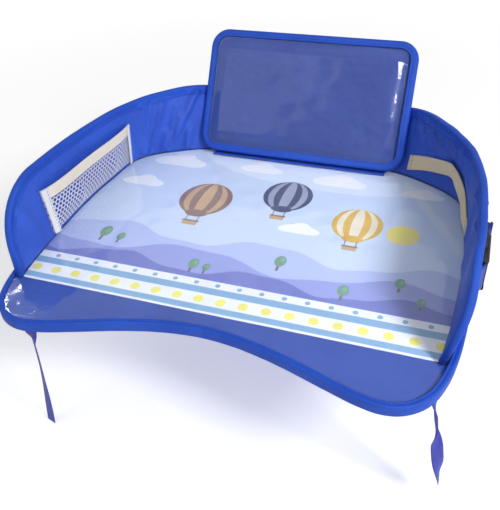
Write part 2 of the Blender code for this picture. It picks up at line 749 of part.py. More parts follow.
def holder_place():
    """How far the holder leans back to rest on the wall's rim, and the height of its front edge."""
    touches = []
    across = RIM_HALF_WIDTH + RIM_THICKNESS / 2
    for rim in rim_stations():
        for out in (GAP - RIM_LAP, GAP + RIM_THICKNESS):
            touch = over_rim(rim, across, out)
            if abs(touch.x) < HOLDER_WIDTH / 2 + across and touch.y > 0:
                touches.append(touch)
    lean = 0.0
    for _ in range(20):
        front_z = HOLDER_BACK_EDGE_Z + HOLDER_THICKNESS * math.sin(lean)
        turns = []
        for touch in touches:
            back, up = touch.y - HOLDER_FRONT_Y, touch.z - front_z
            turns.append(math.atan2(back, up) - math.asin((HOLDER_THICKNESS + GAP) / math.hypot(back, up)))
        lean = min(turns)
    return lean, front_z


def build_holder():
    """The leaning holder, in the frame of its fold line."""
    axis = bpy.data.objects.new("holder_axis", None)
    PARTS.objects.link(axis)
    lean, front_z = holder_place()
    axis.location = (0.0, HOLDER_FRONT_Y, front_z)
    axis.rotation_euler.x = -lean
    edge = HOLDER_SHEET_INSET
    holder_sheet("holder_back", edge, HOLDER_BACK_FRONT, HOLDER_FABRIC_THICKNESS, "blue_cloth", axis)
    holder_sheet("holder_board", HOLDER_BOARD_MARGIN, HOLDER_BOARD_FRONT, HOLDER_BOARD_THICKNESS, "board", axis)
    holder_sheet("holder_lining", edge, HOLDER_LINING_FRONT, HOLDER_FABRIC_THICKNESS, "blue_cloth", axis)
    build_holder_binding(axis)
    build_holder_window(axis)


def build_holder_binding(axis):
    """The tape round the holder, folded over its edge."""
    half = (HOLDER_THICKNESS - HOLDER_BINDING_THICKNESS) / 2
    middle = HOLDER_THICKNESS / 2
    section = (
        (HOLDER_LAP, -half),
        (half * 0.7, -half),
        (HOLDER_BINDING_THICKNESS / 2 + 0.12 * half, -0.72 * half),
        (HOLDER_BINDING_THICKNESS / 2, 0.0),
        (HOLDER_BINDING_THICKNESS / 2 + 0.12 * half, 0.72 * half),
        (half * 0.7, half),
        (HOLDER_LAP, half),
    )
    sides = [holder_outline(inset) for inset, _ in section]
    rows = []
    for i in range(len(sides[0])):
        row = []
        for outline, (_, across) in zip(sides, section):
            x, z = outline[i]
            row.append((x, middle + across, z))
        rows.append(row)
    loft("holder_binding", rows, HOLDER_BINDING_THICKNESS, "blue_tape", axis, closed=True)


def build_holder_window(axis):
    """The clear film: sewn in on three sides, standing off the lining, open at the right."""
    margin = HOLDER_SHEET_INSET
    half = HOLDER_WIDTH / 2
    left = -half + margin
    right = half - HOLDER_CORNER_RADIUS
    low = margin
    high = HOLDER_HEIGHT - margin
    flat = HOLDER_LAP + GAP - margin
    corner = HOLDER_CORNER_RADIUS - margin
    slope_steps = (0.0, 0.25, 0.5, 0.75, 1.0)
    across = [left] + [left + flat + WINDOW_SLOPE * s for s in slope_steps] + [0.0, right]
    up = [low] + [low + flat + WINDOW_SLOPE * s for s in slope_steps]
    up += [high - flat - WINDOW_SLOPE * s for s in reversed(slope_steps)] + [high]
    rest = HOLDER_WINDOW_FRONT + FILM_THICKNESS / 2
    middle = (low + high) / 2

    def rise(distance):
        share = min(max((distance - flat) / WINDOW_SLOPE, 0.0), 1.0)
        return (1 - math.cos(math.pi * share)) / 2

    rows = []
    for x in across:
        row = []
        for z in up:
            stand = rise(x - left) * rise(min(z - low, high - z))
            px, pz = x, z
            a = max((left + corner - x) / corner, 0.0)
            b = max((abs(z - middle) - (high - low) / 2 + corner) / corner, 0.0)
            if a > 0 and b > 0:
                px = left + corner - corner * a * math.sqrt(1 - b * b / 2)
                reach = (high - low) / 2 - corner + corner * b * math.sqrt(1 - a * a / 2)
                pz = middle + math.copysign(reach, z - middle)
            row.append((px, rest - POCKET_ROOM * stand, pz))
        rows.append(row)
    loft("holder_window", rows, FILM_THICKNESS, "clear_film", axis)


def build_hinge_strip():
    """The hem that sews the holder's lower edge to the table."""
    half = HOLDER_WIDTH / 2 - HINGE_STRIP_MARGIN
    wall_foot = wall_point(place_at_x(half, WALL_INNER_FACE), BASE_DEPTH, 0.0, WALL_THICKNESS).y - 2 * GAP
    rear = min(HOLDER_FRONT_Y + HINGE_STRIP_DEPTH, wall_foot)
    outline = [(-half, HOLDER_FRONT_Y), (half, HOLDER_FRONT_Y), (half, rear), (-half, rear)]
    flat_slab("holder_hinge_strip", outline, TABLE_TOP_Z + GAP, HINGE_STRIP_THICKNESS, "blue_cloth")


def on_wall(first, last, standoff, steps):
    """Rows of a strap that lies on the wall's outer face, between two places along it."""
    rows = []
    for i in range(steps + 1):
        place_along = first + (last - first) * i / steps
        row = []
        for edge in (-WEBBING_WIDTH / 2, WEBBING_WIDTH / 2):
            run = STRAP_HEIGHT + edge
            row.append(outer_face(place_along, run) + wall_normal(place_along, run) * standoff)
        rows.append(row)
    return rows


def upright(places):
    """Rows of a strap on edge, at strap height, along places in plan."""
    edges = (STRAP_CENTRE_Z - WEBBING_WIDTH / 2, STRAP_CENTRE_Z + WEBBING_WIDTH / 2)
    return [[Vector((x, y, z)) for z in edges] for x, y in places]


def buckle_x():
    """Where the buckle's middle plane stands, outside the right wall."""
    top = STRAP_HEIGHT + BUCKLE_HALF_HEIGHT
    ends = (BUCKLE_MOUTH_Y - SOCKET_LENGTH, BUCKLE_MOUTH_Y, BUCKLE_MOUTH_Y + TONGUE_LENGTH)
    reach = max(outer_face(place_at_y(y, True, WALL_LEDGE), top).x for y in ends)
    return reach + BUCKLE_STANDOFF + BUCKLE_THICKNESS / 2


def build_straps():
    """The seat strap round the outside of the wall, and the sewn anchors at both sides."""
    middle = buckle_x()
    left = place_at_y(LEFT_ANCHOR_Y, False, WALL_LEDGE)
    sewn = ANCHOR_STITCHED / OUTLINE_LENGTH
    loft("left_anchor", on_wall(left, left - sewn, FIRST_LAYER, 3), WEBBING_THICKNESS, "blue_webbing")

    tongue_end = BUCKLE_MOUTH_Y + TONGUE_LENGTH
    slot_y = tongue_end - WEB_BAR - WEB_SLOT / 2
    side = TONGUE_THICKNESS / 2 + FIRST_LAYER
    fold_y = tongue_end + TAIL_SETBACK + WEBBING_WIDTH
    leave = place_at_y(fold_y + STRAP_EASE, True, WALL_LEDGE)
    rows = on_wall(left, leave, SECOND_LAYER, STRAP_STEPS)
    rows += upright([(middle - side, tongue_end), (middle - side, slot_y)])
    rows += upright([(middle + side, slot_y), (middle + side, tongue_end), (middle + side, fold_y)])
    strap = loft("seat_strap", rows, WEBBING_THICKNESS, "blue_webbing")
    near, top = tongue_end + TAIL_SETBACK, WEBBING_WIDTH / 2
    over = CUT_OVERRUN
    corner = ((near - over, top + over), (fold_y + over, top - WEBBING_WIDTH - over), (fold_y + over, top + over))
    cut(strap, prism_cutter("fold_cutter", corner, middle, middle + side + over))

    rear = BUCKLE_MOUTH_Y - SOCKET_LENGTH
    slot_y = rear + WEB_BAR + WEB_SLOT / 2
    side = WEB_BAR_THICKNESS / 2 + FIRST_LAYER
    sewn_y = rear - STRAP_EASE
    first = place_at_y(sewn_y - ANCHOR_STITCHED, True, WALL_LEDGE)
    last = place_at_y(sewn_y, True, WALL_LEDGE)
    rows = on_wall(first, last, FIRST_LAYER, 3)
    rows += upright([(middle - side, rear), (middle - side, slot_y)])
    rows += upright([(middle + side, slot_y), (middle + side, rear)])
    rows += on_wall(last, last, SECOND_LAYER, 1)[:1]
    loft("right_anchor", rows, WEBBING_THICKNESS, "blue_webbing")


def cutter(name, points, faces):
    """A closed mesh used to cut."""
    mesh = bpy.data.meshes.new(name)
    mesh.from_pydata(points, [], faces)
    work = bmesh.new()
    work.from_mesh(mesh)
    bmesh.ops.recalc_face_normals(work, faces=work.faces)
    work.to_mesh(mesh)
    work.free()
    return place_guide(name, mesh)


def prism_cutter(name, corners, first_x, last_x):
    """A cutter with this outline in Y and Z about the strap's middle, between two X places."""
    count = len(corners)
    points = [(x, y, STRAP_CENTRE_Z + z) for x in (first_x, last_x) for y, z in corners]
    faces = [list(range(count)), list(range(2 * count - 1, count - 1, -1))]
    faces += [[i, (i + 1) % count, count + (i + 1) % count, count + i] for i in range(count)]
    return cutter(name, points, faces)


def box_cutter(name, low, high):
    """A box between two corners, used to cut."""
    corners = ((low[1], low[2]), (high[1], low[2]), (high[1], high[2]), (low[1], high[2]))
    return prism_cutter(name, corners, low[0], high[0])


def cut(obj, tool):
    """Cut one object with another."""
    boolean = obj.modifiers.new(tool.name, "BOOLEAN")
    boolean.operation = "DIFFERENCE"
    boolean.object = tool
    boolean.solver = "EXACT"


def build_socket():
    """The buckle's socket: a flat box with a mouth, side windows and a bar for its webbing."""
    x, y = buckle_x(), BUCKLE_MOUTH_Y
    half_x, half_z = BUCKLE_THICKNESS / 2, BUCKLE_HALF_HEIGHT
    rear = y - SOCKET_LENGTH
    over = CUT_OVERRUN
    mesh = bpy.data.meshes.new("buckle_socket")
    work = bmesh.new()
    bmesh.ops.create_cube(work, size=1.0)
    size = (BUCKLE_THICKNESS, SOCKET_LENGTH, 2 * half_z)
    bmesh.ops.scale(work, vec=size, verts=work.verts)
    work.to_mesh(mesh)
    work.free()
    socket = place("buckle_socket", mesh, "black_plastic")
    socket.location = (x, (rear + y) / 2, STRAP_CENTRE_Z)
    add_bevel(socket, BUCKLE_ROUND, 2)
    inner_x, inner_z = half_x - BUCKLE_WALL, half_z - BUCKLE_WALL
    web_z = WEBBING_WIDTH / 2 + WEB_SIDE_CLEARANCE
    head = TONGUE_THICKNESS / 2 + GAP
    window_y = y - SOCKET_WINDOW_SETBACK
    slot_y = rear + WEB_BAR
    outside = half_x + over
    bar = WEB_BAR_THICKNESS / 2
    tools = (
        ("mouth_cutter", -inner_x, inner_x, y - SOCKET_CAVITY, y + over, inner_z),
        ("window_cutter", -head, head, window_y - SOCKET_WINDOW_LENGTH, window_y, half_z + over),
        ("slot_cutter", -outside, outside, slot_y, slot_y + WEB_SLOT, web_z),
        ("bar_inner_cutter", -outside, -bar, rear - over, slot_y + WEB_SLOT / 2, web_z),
        ("bar_outer_cutter", bar, outside, rear - over, slot_y + WEB_SLOT / 2, web_z),
    )
    for name, first_x, last_x, first_y, last_y, reach_z in tools:
        cut(socket, box_cutter(name, (x + first_x, first_y, -reach_z), (x + last_x, last_y, reach_z)))


def upright_plate(name, outline, holes, thickness, material, location):
    """A flat plate standing along the wall: its outline runs along Y and up Z."""
    curve = bpy.data.curves.new(name, "CURVE")
    curve.dimensions = "2D"
    curve.fill_mode = "BOTH"
    curve.extrude = thickness / 2
    for loop in (outline, *holes):
        spline = curve.splines.new("POLY")
        spline.points.add(len(loop) - 1)
        for point, (y, z) in zip(spline.points, loop):
            point.co = (y, z, 0.0, 1.0)
        spline.use_cyclic_u = True
    obj = place(name, curve, material)
    obj.location = location
    obj.rotation_euler = (math.pi / 2, 0.0, math.pi / 2)
    return obj


def build_tongue():
    """The buckle's tongue: a plate with a webbing slot and a guide blade that enters the socket."""
    half = BUCKLE_HALF_HEIGHT
    guide = GUIDE_WIDTH / 2
    bevel = BUCKLE_ROUND
    outline = (
        (GAP, -half),
        (TONGUE_LENGTH - bevel, -half),
        (TONGUE_LENGTH, -half + bevel),
        (TONGUE_LENGTH, half - bevel),
        (TONGUE_LENGTH - bevel, half),
        (GAP, half),
        (GAP, guide),
        (-GUIDE_LENGTH + guide, guide),
        (-GUIDE_LENGTH, guide / 2),
        (-GUIDE_LENGTH, -guide / 2),
        (-GUIDE_LENGTH + guide, -guide),
        (GAP, -guide),
    )
    web = WEBBING_WIDTH / 2 + WEB_SIDE_CLEARANCE
    bar = TONGUE_LENGTH - WEB_BAR
    slot = ((bar - WEB_SLOT, -web), (bar, -web), (bar, web), (bar - WEB_SLOT, web))
    location = (buckle_x(), BUCKLE_MOUTH_Y, STRAP_CENTRE_Z)
    upright_plate("buckle_tongue", outline, [slot], TONGUE_THICKNESS, "black_plastic", location)


def build_arms():
    """The tongue's two spring arms, whose pads stand out of the socket's windows."""
    reach = ARM_WIDTH / 2
    catch = -SOCKET_WINDOW_SETBACK - ARM_CATCH_CLEARANCE
    tip = -ARM_LENGTH + GAP
    pad_end = max(tip + reach, -SOCKET_WINDOW_SETBACK - SOCKET_WINDOW_LENGTH + ARM_CATCH_CLEARANCE)
    pad = BUCKLE_HALF_HEIGHT + ARM_PAD_PROUD - ARM_OFFSET
    shoulder = BUCKLE_HALF_HEIGHT - BUCKLE_WALL / 2 - ARM_OFFSET
    outline = (
        (0.0, -reach),
        (0.0, reach),
        (catch, reach),
        (catch, shoulder),
        (catch - reach, pad),
        ((catch + pad_end) / 2, pad - GAP),
        (pad_end + reach, pad),
        (pad_end, shoulder),
        (tip, reach),
        (tip, -reach),
    )
    for name, side in (("release_arm_upper", 1.0), ("release_arm_lower", -1.0)):
        turned = [(y, z * side) for y, z in outline]
        location = (buckle_x(), BUCKLE_MOUTH_Y - GAP / 2, STRAP_CENTRE_Z + side * ARM_OFFSET)
        upright_plate(name, turned, [], TONGUE_THICKNESS, "black_plastic", location)


def build_tail():
    """The strap's loose end, folded down at a slant over the loop through the tongue."""
    side = TONGUE_THICKNESS / 2 + SECOND_LAYER
    near = BUCKLE_MOUTH_Y + TONGUE_LENGTH + TAIL_SETBACK
    top = WEBBING_WIDTH / 2
    low = top - TAIL_LENGTH
    outline = ((0.0, top), (0.0, low), (WEBBING_WIDTH, low), (WEBBING_WIDTH, top - WEBBING_WIDTH))
    location = (buckle_x() + side, near, STRAP_CENTRE_Z)
    upright_plate("strap_tail", outline, [], WEBBING_THICKNESS, "blue_webbing", location)


def build_ties():
    """The two ribbon ties that hang from the edge binding at the front corners."""
    ties = (
        ("tie_left", -LEFT_TIE_SHARE * BASE_WIDTH / 2, LEFT_TIE_LENGTH, LEFT_TIE_SWAY),
        ("tie_right", RIGHT_TIE_SHARE * BASE_WIDTH / 2, RIGHT_TIE_LENGTH, RIGHT_TIE_SWAY),
    )
    for name, x, length, sway in ties:
        low, high = 0.0, place_at_y(WALL_END_Y, True)
        for _ in range(40):
            middle = (low + high) / 2
            if plan_at(middle, TIE_INSET)[0][0] < abs(x):
                low = middle
            else:
                high = middle
        point, normal = plan_at(low, TIE_INSET)
        side = math.copysign(1.0, x)
        sewn = Vector((point[0] * side, point[1], TIE_TOP_Z))
        along = math.atan2(normal[0], -normal[1]) * side
        rows = []
        for step in range(TIE_STEPS + 1):
            share = step / TIE_STEPS
            turn = along + TIE_TWIST * side * math.sin(math.pi * share) * share
            centre = sewn + Vector((sway * side * share, 0.0, -length * share))
            across = Vector((math.cos(turn), math.sin(turn), 0.0)) * TIE_WIDTH / 2
            rows.append([centre - across, centre + across])
        loft(name, rows, TIE_THICKNESS, "ribbon")


def main():
    clear_scene()
    build_base()
    build_edge_binding()
    build_wall()
    build_rim_binding()
    build_net()
    build_pocket_trim()
    build_cup_strap()
    build_holder()
    build_hinge_strip()
    build_straps()
    build_socket()
    build_tongue()
    build_arms()
    build_tail()
    build_ties()


clear_scene()
PARTS = new_collection("car_seat_tray_table")
GUIDES = new_collection("cutters_and_guides")
OUTLINE = closed_spline(base_knots(), DENSE_SAMPLES)
NORMALS = outward_normals(OUTLINE)
OUTLINE_LENGTH = float(np.sum(np.linalg.norm(np.roll(OUTLINE, -1, axis=0) - OUTLINE, axis=1)))
main()
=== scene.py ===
# %% [markdown]
# # A padded tray table for a car seat
#
# The real table is sewn. A stiff board and a thin foam lie between two covers of blue cloth, a
# soft wall stands round the sides and the back, and clear film lies over a printed sheet.
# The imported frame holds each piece's place and size. This lesson gives every piece its cloth,
# film, tape or plastic, and makes the sewn pieces again as finer sheets in the same places.
#
# The frame comes first, because every later step is worked out from it.

# %% Load the frame
import json
import math
import random

import bpy
import numpy as np
from mathutils import Matrix, Vector


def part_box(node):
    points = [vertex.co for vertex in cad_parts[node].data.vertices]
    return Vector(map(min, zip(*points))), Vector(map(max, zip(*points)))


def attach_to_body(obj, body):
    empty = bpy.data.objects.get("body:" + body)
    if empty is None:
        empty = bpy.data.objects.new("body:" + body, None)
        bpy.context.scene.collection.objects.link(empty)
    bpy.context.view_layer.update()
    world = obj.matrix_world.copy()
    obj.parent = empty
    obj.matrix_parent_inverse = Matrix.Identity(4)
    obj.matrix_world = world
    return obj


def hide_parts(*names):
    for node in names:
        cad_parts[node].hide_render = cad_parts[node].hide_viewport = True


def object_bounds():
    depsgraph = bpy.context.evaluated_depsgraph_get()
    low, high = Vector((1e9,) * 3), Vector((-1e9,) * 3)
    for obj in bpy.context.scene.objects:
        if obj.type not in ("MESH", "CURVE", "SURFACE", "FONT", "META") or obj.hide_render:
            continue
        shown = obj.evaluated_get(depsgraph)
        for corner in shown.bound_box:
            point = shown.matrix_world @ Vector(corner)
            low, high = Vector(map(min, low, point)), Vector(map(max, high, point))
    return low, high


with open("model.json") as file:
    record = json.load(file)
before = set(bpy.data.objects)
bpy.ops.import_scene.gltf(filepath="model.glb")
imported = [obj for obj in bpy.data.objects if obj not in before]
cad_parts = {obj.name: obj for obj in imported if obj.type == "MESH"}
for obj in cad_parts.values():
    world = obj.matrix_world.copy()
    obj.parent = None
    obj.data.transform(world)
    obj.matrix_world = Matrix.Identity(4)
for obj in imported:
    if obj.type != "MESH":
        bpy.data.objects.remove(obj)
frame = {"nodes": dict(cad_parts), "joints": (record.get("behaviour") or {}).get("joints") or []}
cad_low, cad_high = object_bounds()
print("size in mm:", [round(1000 * side) for side in cad_high - cad_low])

# %% [markdown]
# ## The camera
#
# A render can only be compared with a photograph when both look from the same place. The place,
# the way it looks and the focal length were worked out from the table's own corners in the
# photograph, so they are written here as they came out: a place in metres and a length in pixels.

# %% Camera
MM = 0.001
IMAGE_HEIGHT_PX = 510
FOCAL_LENGTH_PX = 643.07
SENSOR_LONG_SIDE_MM = 36.0
CAMERA_PLACE = Vector((170.9 * MM, -465.4 * MM, 360.7 * MM))
CAMERA_RIGHT = Vector((0.9442, 0.3263, -0.0443)).normalized()
CAMERA_UP = Vector((-0.1649, 0.5851, 0.794))

scene = bpy.context.scene
scene.view_settings.view_transform = "Standard"
lens = bpy.data.cameras.new("photo_camera")
lens.sensor_width = SENSOR_LONG_SIDE_MM
lens.lens = FOCAL_LENGTH_PX / IMAGE_HEIGHT_PX * SENSOR_LONG_SIDE_MM
camera = bpy.data.objects.new("photo_camera", lens)
camera_back = CAMERA_RIGHT.cross(CAMERA_UP).normalized()
camera_axes = Matrix((CAMERA_RIGHT, camera_back.cross(CAMERA_RIGHT), camera_back)).transposed()
camera.matrix_world = Matrix.Translation(CAMERA_PLACE) @ camera_axes.to_4x4()
scene.collection.objects.link(camera)
scene.camera = camera
print("lens in mm:", round(lens.lens, 2))

# %% [markdown]
# ## Helpers for shader nodes
#
# Every finish below is a small graph of nodes. Writing a graph out node by node is long, so
# small helpers do the repeated work: one adds a node, one feeds a socket with either a link or
# a plain value, and a few do sums. A finish then reads almost like a formula.

# %% Node helpers
def add_node(tree, kind, **settings):
    """Add a node and give it its settings."""
    node = tree.nodes.new(kind)
    for name, value in settings.items():
        setattr(node, name, value)
    return node


def feed(tree, socket, value):
    """Link another socket to this one, or give it a plain value."""
    if isinstance(value, bpy.types.NodeSocket):
        tree.links.new(value, socket)
    else:
        socket.default_value = value


def calculate(tree, operation, *values, clamp=False):
    """One sum on numbers."""
    node = add_node(tree, "ShaderNodeMath", operation=operation, use_clamp=clamp)
    for socket, value in zip(node.inputs, values):
        feed(tree, socket, value)
    return node.outputs[0]


def plus(tree, first, second):
    """The sum of two numbers."""
    return calculate(tree, "ADD", first, second)


def minus(tree, first, second):
    """The first number less the second."""
    return calculate(tree, "SUBTRACT", first, second)


def times(tree, first, second):
    """The product of two numbers."""
    return calculate(tree, "MULTIPLY", first, second)


def mix_colours(tree, share, first, second):
    """Go from the first colour to the second by a share."""
    node = add_node(tree, "ShaderNodeMix", data_type="RGBA")
    feed(tree, node.inputs[0], share)
    feed(tree, node.inputs[6], first)
    feed(tree, node.inputs[7], second)
    return node.outputs[2]


def remap(tree, value, low, high, to_low=0.0, to_high=1.0, smooth=False):
    """Turn the range low to high into another range."""
    node = add_node(tree, "ShaderNodeMapRange")
    if smooth:
        node.interpolation_type = "SMOOTHSTEP"
    for name, given in (
        ("Value", value),
        ("From Min", low),
        ("From Max", high),
        ("To Min", to_low),
        ("To Max", to_high),
    ):
        feed(tree, node.inputs[name], given)
    return node.outputs[0]


def noise_at(tree, place, scale, detail=2.0, roughness=0.5):
    """A noise value at a place."""
    node = add_node(tree, "ShaderNodeTexNoise")
    feed(tree, node.inputs["Vector"], place)
    feed(tree, node.inputs["Scale"], scale)
    node.inputs["Detail"].default_value = detail
    node.inputs["Roughness"].default_value = roughness
    return node.outputs["Fac"]


def new_group(name, inputs, outputs):
    """Start a node group. Inputs are (name, kind, value), outputs are (name, kind)."""
    group = bpy.data.node_groups.new(name, "ShaderNodeTree")
    for label, kind, value in inputs:
        socket = group.interface.new_socket(label, in_out="INPUT", socket_type="NodeSocket" + kind)
        if value is not None:
            socket.default_value = value
    for label, kind in outputs:
        group.interface.new_socket(label, in_out="OUTPUT", socket_type="NodeSocket" + kind)
    given = group.nodes.new("NodeGroupInput").outputs
    results = group.nodes.new("NodeGroupOutput").inputs
    return group, given, results


def use_group(tree, group, **values):
    """Place a group and feed its inputs. A name's underscores stand for spaces."""
    node = add_node(tree, "ShaderNodeGroup", node_tree=group)
    for name, value in values.items():
        feed(tree, node.inputs[name.replace("_", " ").capitalize()], value)
    return node.outputs


# %% [markdown]
# ## Effects that several finishes share
#
# Oxford cloth, lining, binding tape and ribbon are all woven, so one group makes the weave:
# threads that pass over and under each other in a checkerboard. It works on the cloth's own
# map, which is laid out in metres, so a thread is as wide as a real one on every piece. A
# picture of cloth would repeat and blur, and a group costs nothing to reuse at another thread
# count.

# %% Weave group
weave_group, given, results = new_group(
    "woven threads",
    [("Map", "Vector", None), ("Threads", "Float", 2000.0), ("Unevenness", "Float", 0.3)],
    [("Height", "Float"), ("Tone", "Float")],
)
scaled = add_node(weave_group, "ShaderNodeVectorMath", operation="SCALE")
feed(weave_group, scaled.inputs[0], given["Map"])
feed(weave_group, scaled.inputs["Scale"], given["Threads"])
parts = add_node(weave_group, "ShaderNodeSeparateXYZ")
feed(weave_group, parts.inputs[0], scaled.outputs[0])
rounds = []
for axis in (0, 1):
    half_turns = times(weave_group, parts.outputs[axis], math.pi)
    rounds.append(calculate(weave_group, "ABSOLUTE", calculate(weave_group, "SINE", half_turns)))
counts = [calculate(weave_group, "FLOOR", parts.outputs[axis]) for axis in (0, 1)]
both = plus(weave_group, counts[0], counts[1])
over = calculate(weave_group, "MODULO", calculate(weave_group, "ABSOLUTE", both), 2.0)
under = minus(weave_group, 1.0, over)
warp = times(weave_group, rounds[0], over)
weft = times(weave_group, rounds[1], under)
feed(weave_group, results["Height"], plus(weave_group, warp, weft))
streak = add_node(weave_group, "ShaderNodeCombineXYZ")
feed(weave_group, streak.inputs[0], times(weave_group, counts[0], over))
feed(weave_group, streak.inputs[1], times(weave_group, counts[1], under))
thread_tone = add_node(weave_group, "ShaderNodeTexWhiteNoise", noise_dimensions="2D")
feed(weave_group, thread_tone.inputs["Vector"], streak.outputs[0])
shift = minus(weave_group, thread_tone.outputs["Value"], 0.5)
spread = times(weave_group, shift, given["Unevenness"])
feed(weave_group, results["Tone"], plus(weave_group, spread, 0.5))
print("weave group nodes:", len(weave_group.nodes))

# %% [markdown]
# Cloth that was folded in a box is never one even tone. Broad soft patches come from handling
# and small specks from lint. The second group puts both out as masks, and each cloth decides
# how strongly to use them.

# %% Handling group
handling_group, given, results = new_group(
    "handled cloth",
    [("Map", "Vector", None), ("Patches", "Float", 22.0), ("Specks", "Float", 900.0)],
    [("Patch", "Float"), ("Lint", "Float"), ("Rumple", "Float")],
)
broad = noise_at(handling_group, given["Map"], given["Patches"], 3.0, 0.55)
feed(handling_group, results["Patch"], remap(handling_group, broad, 0.3, 0.7, smooth=True))
fine = noise_at(handling_group, given["Map"], given["Specks"], 1.0)
feed(handling_group, results["Lint"], remap(handling_group, fine, 0.72, 0.8, smooth=True))
rumple_scale = times(handling_group, given["Patches"], 3.5)
feed(handling_group, results["Rumple"], noise_at(handling_group, given["Map"], rumple_scale, 2.0))

# %% [markdown]
# Webbing and elastic are ribbed rather than checkered: bold ribs run one way and fine threads
# cross them. The third group takes both counts, so one group makes the strap, the cup band and
# the pocket's elastic.

# %% Rib group
rib_group, given, results = new_group(
    "ribbed weave",
    [("Map", "Vector", None), ("Ribs along", "Float", 500.0), ("Ribs across", "Float", 1500.0)],
    [("Height", "Float"), ("Groove shade", "Float")],
)
parts = add_node(rib_group, "ShaderNodeSeparateXYZ")
feed(rib_group, parts.inputs[0], given["Map"])
waves = []
for axis, count in ((0, "Ribs along"), (1, "Ribs across")):
    turns = times(rib_group, parts.outputs[axis], given[count])
    half_turns = times(rib_group, turns, math.pi)
    waves.append(calculate(rib_group, "ABSOLUTE", calculate(rib_group, "SINE", half_turns)))
ribs = times(rib_group, waves[1], 0.65)
crossing = times(rib_group, waves[0], 0.35)
feed(rib_group, results["Height"], plus(rib_group, ribs, crossing))
# The groove mask marks where the finishes paint shade between the ribs
feed(rib_group, results["Groove shade"], remap(rib_group, waves[1], 0.35, 0.0, smooth=True))

# %% [markdown]
# ## Finishes
#
# A finish starts as a Principled shader with its plain numbers, and then takes colour, roughness
# and a fine bump from the groups. Plain numbers such as sheen stay on the shader's own sockets,
# so that other programs read them too.

# %% Material helpers
def new_finish(name, roughness, **plain):
    """Start a material. Gives the material, its tree, its shader and the cloth's map."""
    material = bpy.data.materials.new(name)
    material.use_nodes = True
    tree = material.node_tree
    shader = tree.nodes["Principled BSDF"]
    shader.inputs["Roughness"].default_value = roughness
    for socket, value in plain.items():
        shader.inputs[socket.replace("_", " ")].default_value = value
    cloth_map = add_node(tree, "ShaderNodeUVMap", uv_map="cloth").outputs[0]
    return material, tree, shader, cloth_map


def add_bump(tree, shader, height, distance, strength=1.0, under=None):
    """Raise the surface by a height, on top of an earlier bump if there is one."""
    bump = add_node(tree, "ShaderNodeBump")
    bump.inputs["Strength"].default_value = strength
    bump.inputs["Distance"].default_value = distance
    feed(tree, bump.inputs["Height"], height)
    if under is not None:
        feed(tree, bump.inputs["Normal"], under)
    feed(tree, shader.inputs["Normal"], bump.outputs[0])
    return bump.outputs[0]


def paint(tree, shader, colour, roughness):
    """Feed the shader its colour and its roughness."""
    feed(tree, shader.inputs["Base Color"], colour)
    feed(tree, shader.inputs["Roughness"], roughness)


def opaque(colour):
    """A colour with its alpha."""
    return (*colour, 1.0)


# %% Woven cloths
def woven_finish(name, colour, deep, threads, roughness, sheen, rumple):
    """A plain woven cloth that goes from its deep tone to its full colour."""
    material, tree, shader, cloth_map = new_finish(
        name, roughness, Sheen_Weight=sheen, Sheen_Roughness=0.4, Specular_IOR_Level=0.4
    )
    threads_out = use_group(tree, weave_group, map=cloth_map, threads=threads, unevenness=0.5)
    worn = use_group(tree, handling_group, map=cloth_map, patches=18.0, specks=1400.0)
    # The weave's height sets part of the tone, so its hollows are darker: painted shade
    tone = times(tree, threads_out["Height"], 0.25)
    tone = plus(tree, tone, times(tree, threads_out["Tone"], 0.4))
    tone = calculate(tree, "ADD", tone, times(tree, worn["Patch"], 0.5), clamp=True)
    base = mix_colours(tree, tone, opaque(deep), opaque(colour))
    pale = tuple(0.6 * part + 0.3 for part in colour)
    base = mix_colours(tree, times(tree, worn["Lint"], 0.25), base, opaque(pale))
    rough = remap(tree, worn["Patch"], 0.0, 1.0, roughness + 0.08, roughness - 0.06)
    paint(tree, shader, base, rough)
    broad = add_bump(tree, shader, worn["Rumple"], rumple)
    add_bump(tree, shader, threads_out["Height"], 0.00012, 0.6, broad)
    return material


OXFORD_BLUE = (0.040, 0.138, 0.780)
OXFORD_DEEP = (0.026, 0.092, 0.600)
# A darker copy of the Oxford cloth: painted shade on the upper cloth and the holder's lining
OXFORD_IN_PAINTED_SHADE = (0.024, 0.070, 0.360)
OXFORD_DEEP_IN_PAINTED_SHADE = (0.015, 0.046, 0.260)
TAPE_BLUE = (0.014, 0.108, 0.720)
TAPE_DEEP = (0.009, 0.070, 0.540)
# The ribbon's violets are brighter than its own colour: painted light on ties that hang in shade
RIBBON_VIOLET = (0.055, 0.068, 0.600)
RIBBON_DEEP = (0.030, 0.040, 0.420)

# After its two colours, each takes its threads in a metre, roughness, sheen and rumple
oxford = woven_finish("blue_oxford_cloth", OXFORD_BLUE, OXFORD_DEEP, 2200.0, 0.38, 0.05, 0.0014)
lining = woven_finish("blue_oxford_in_painted_shade", OXFORD_IN_PAINTED_SHADE, OXFORD_DEEP_IN_PAINTED_SHADE, 2200.0, 0.5, 0.05, 0.0012)
tape_cloth = woven_finish("blue_binding_tape", TAPE_BLUE, TAPE_DEEP, 2600.0, 0.44, 0.03, 0.0003)
ribbon_cloth = woven_finish("violet_ribbon", RIBBON_VIOLET, RIBBON_DEEP, 3200.0, 0.38, 0.2, 0.0002)
print("woven finishes:", oxford.name, lining.name, tape_cloth.name, ribbon_cloth.name)


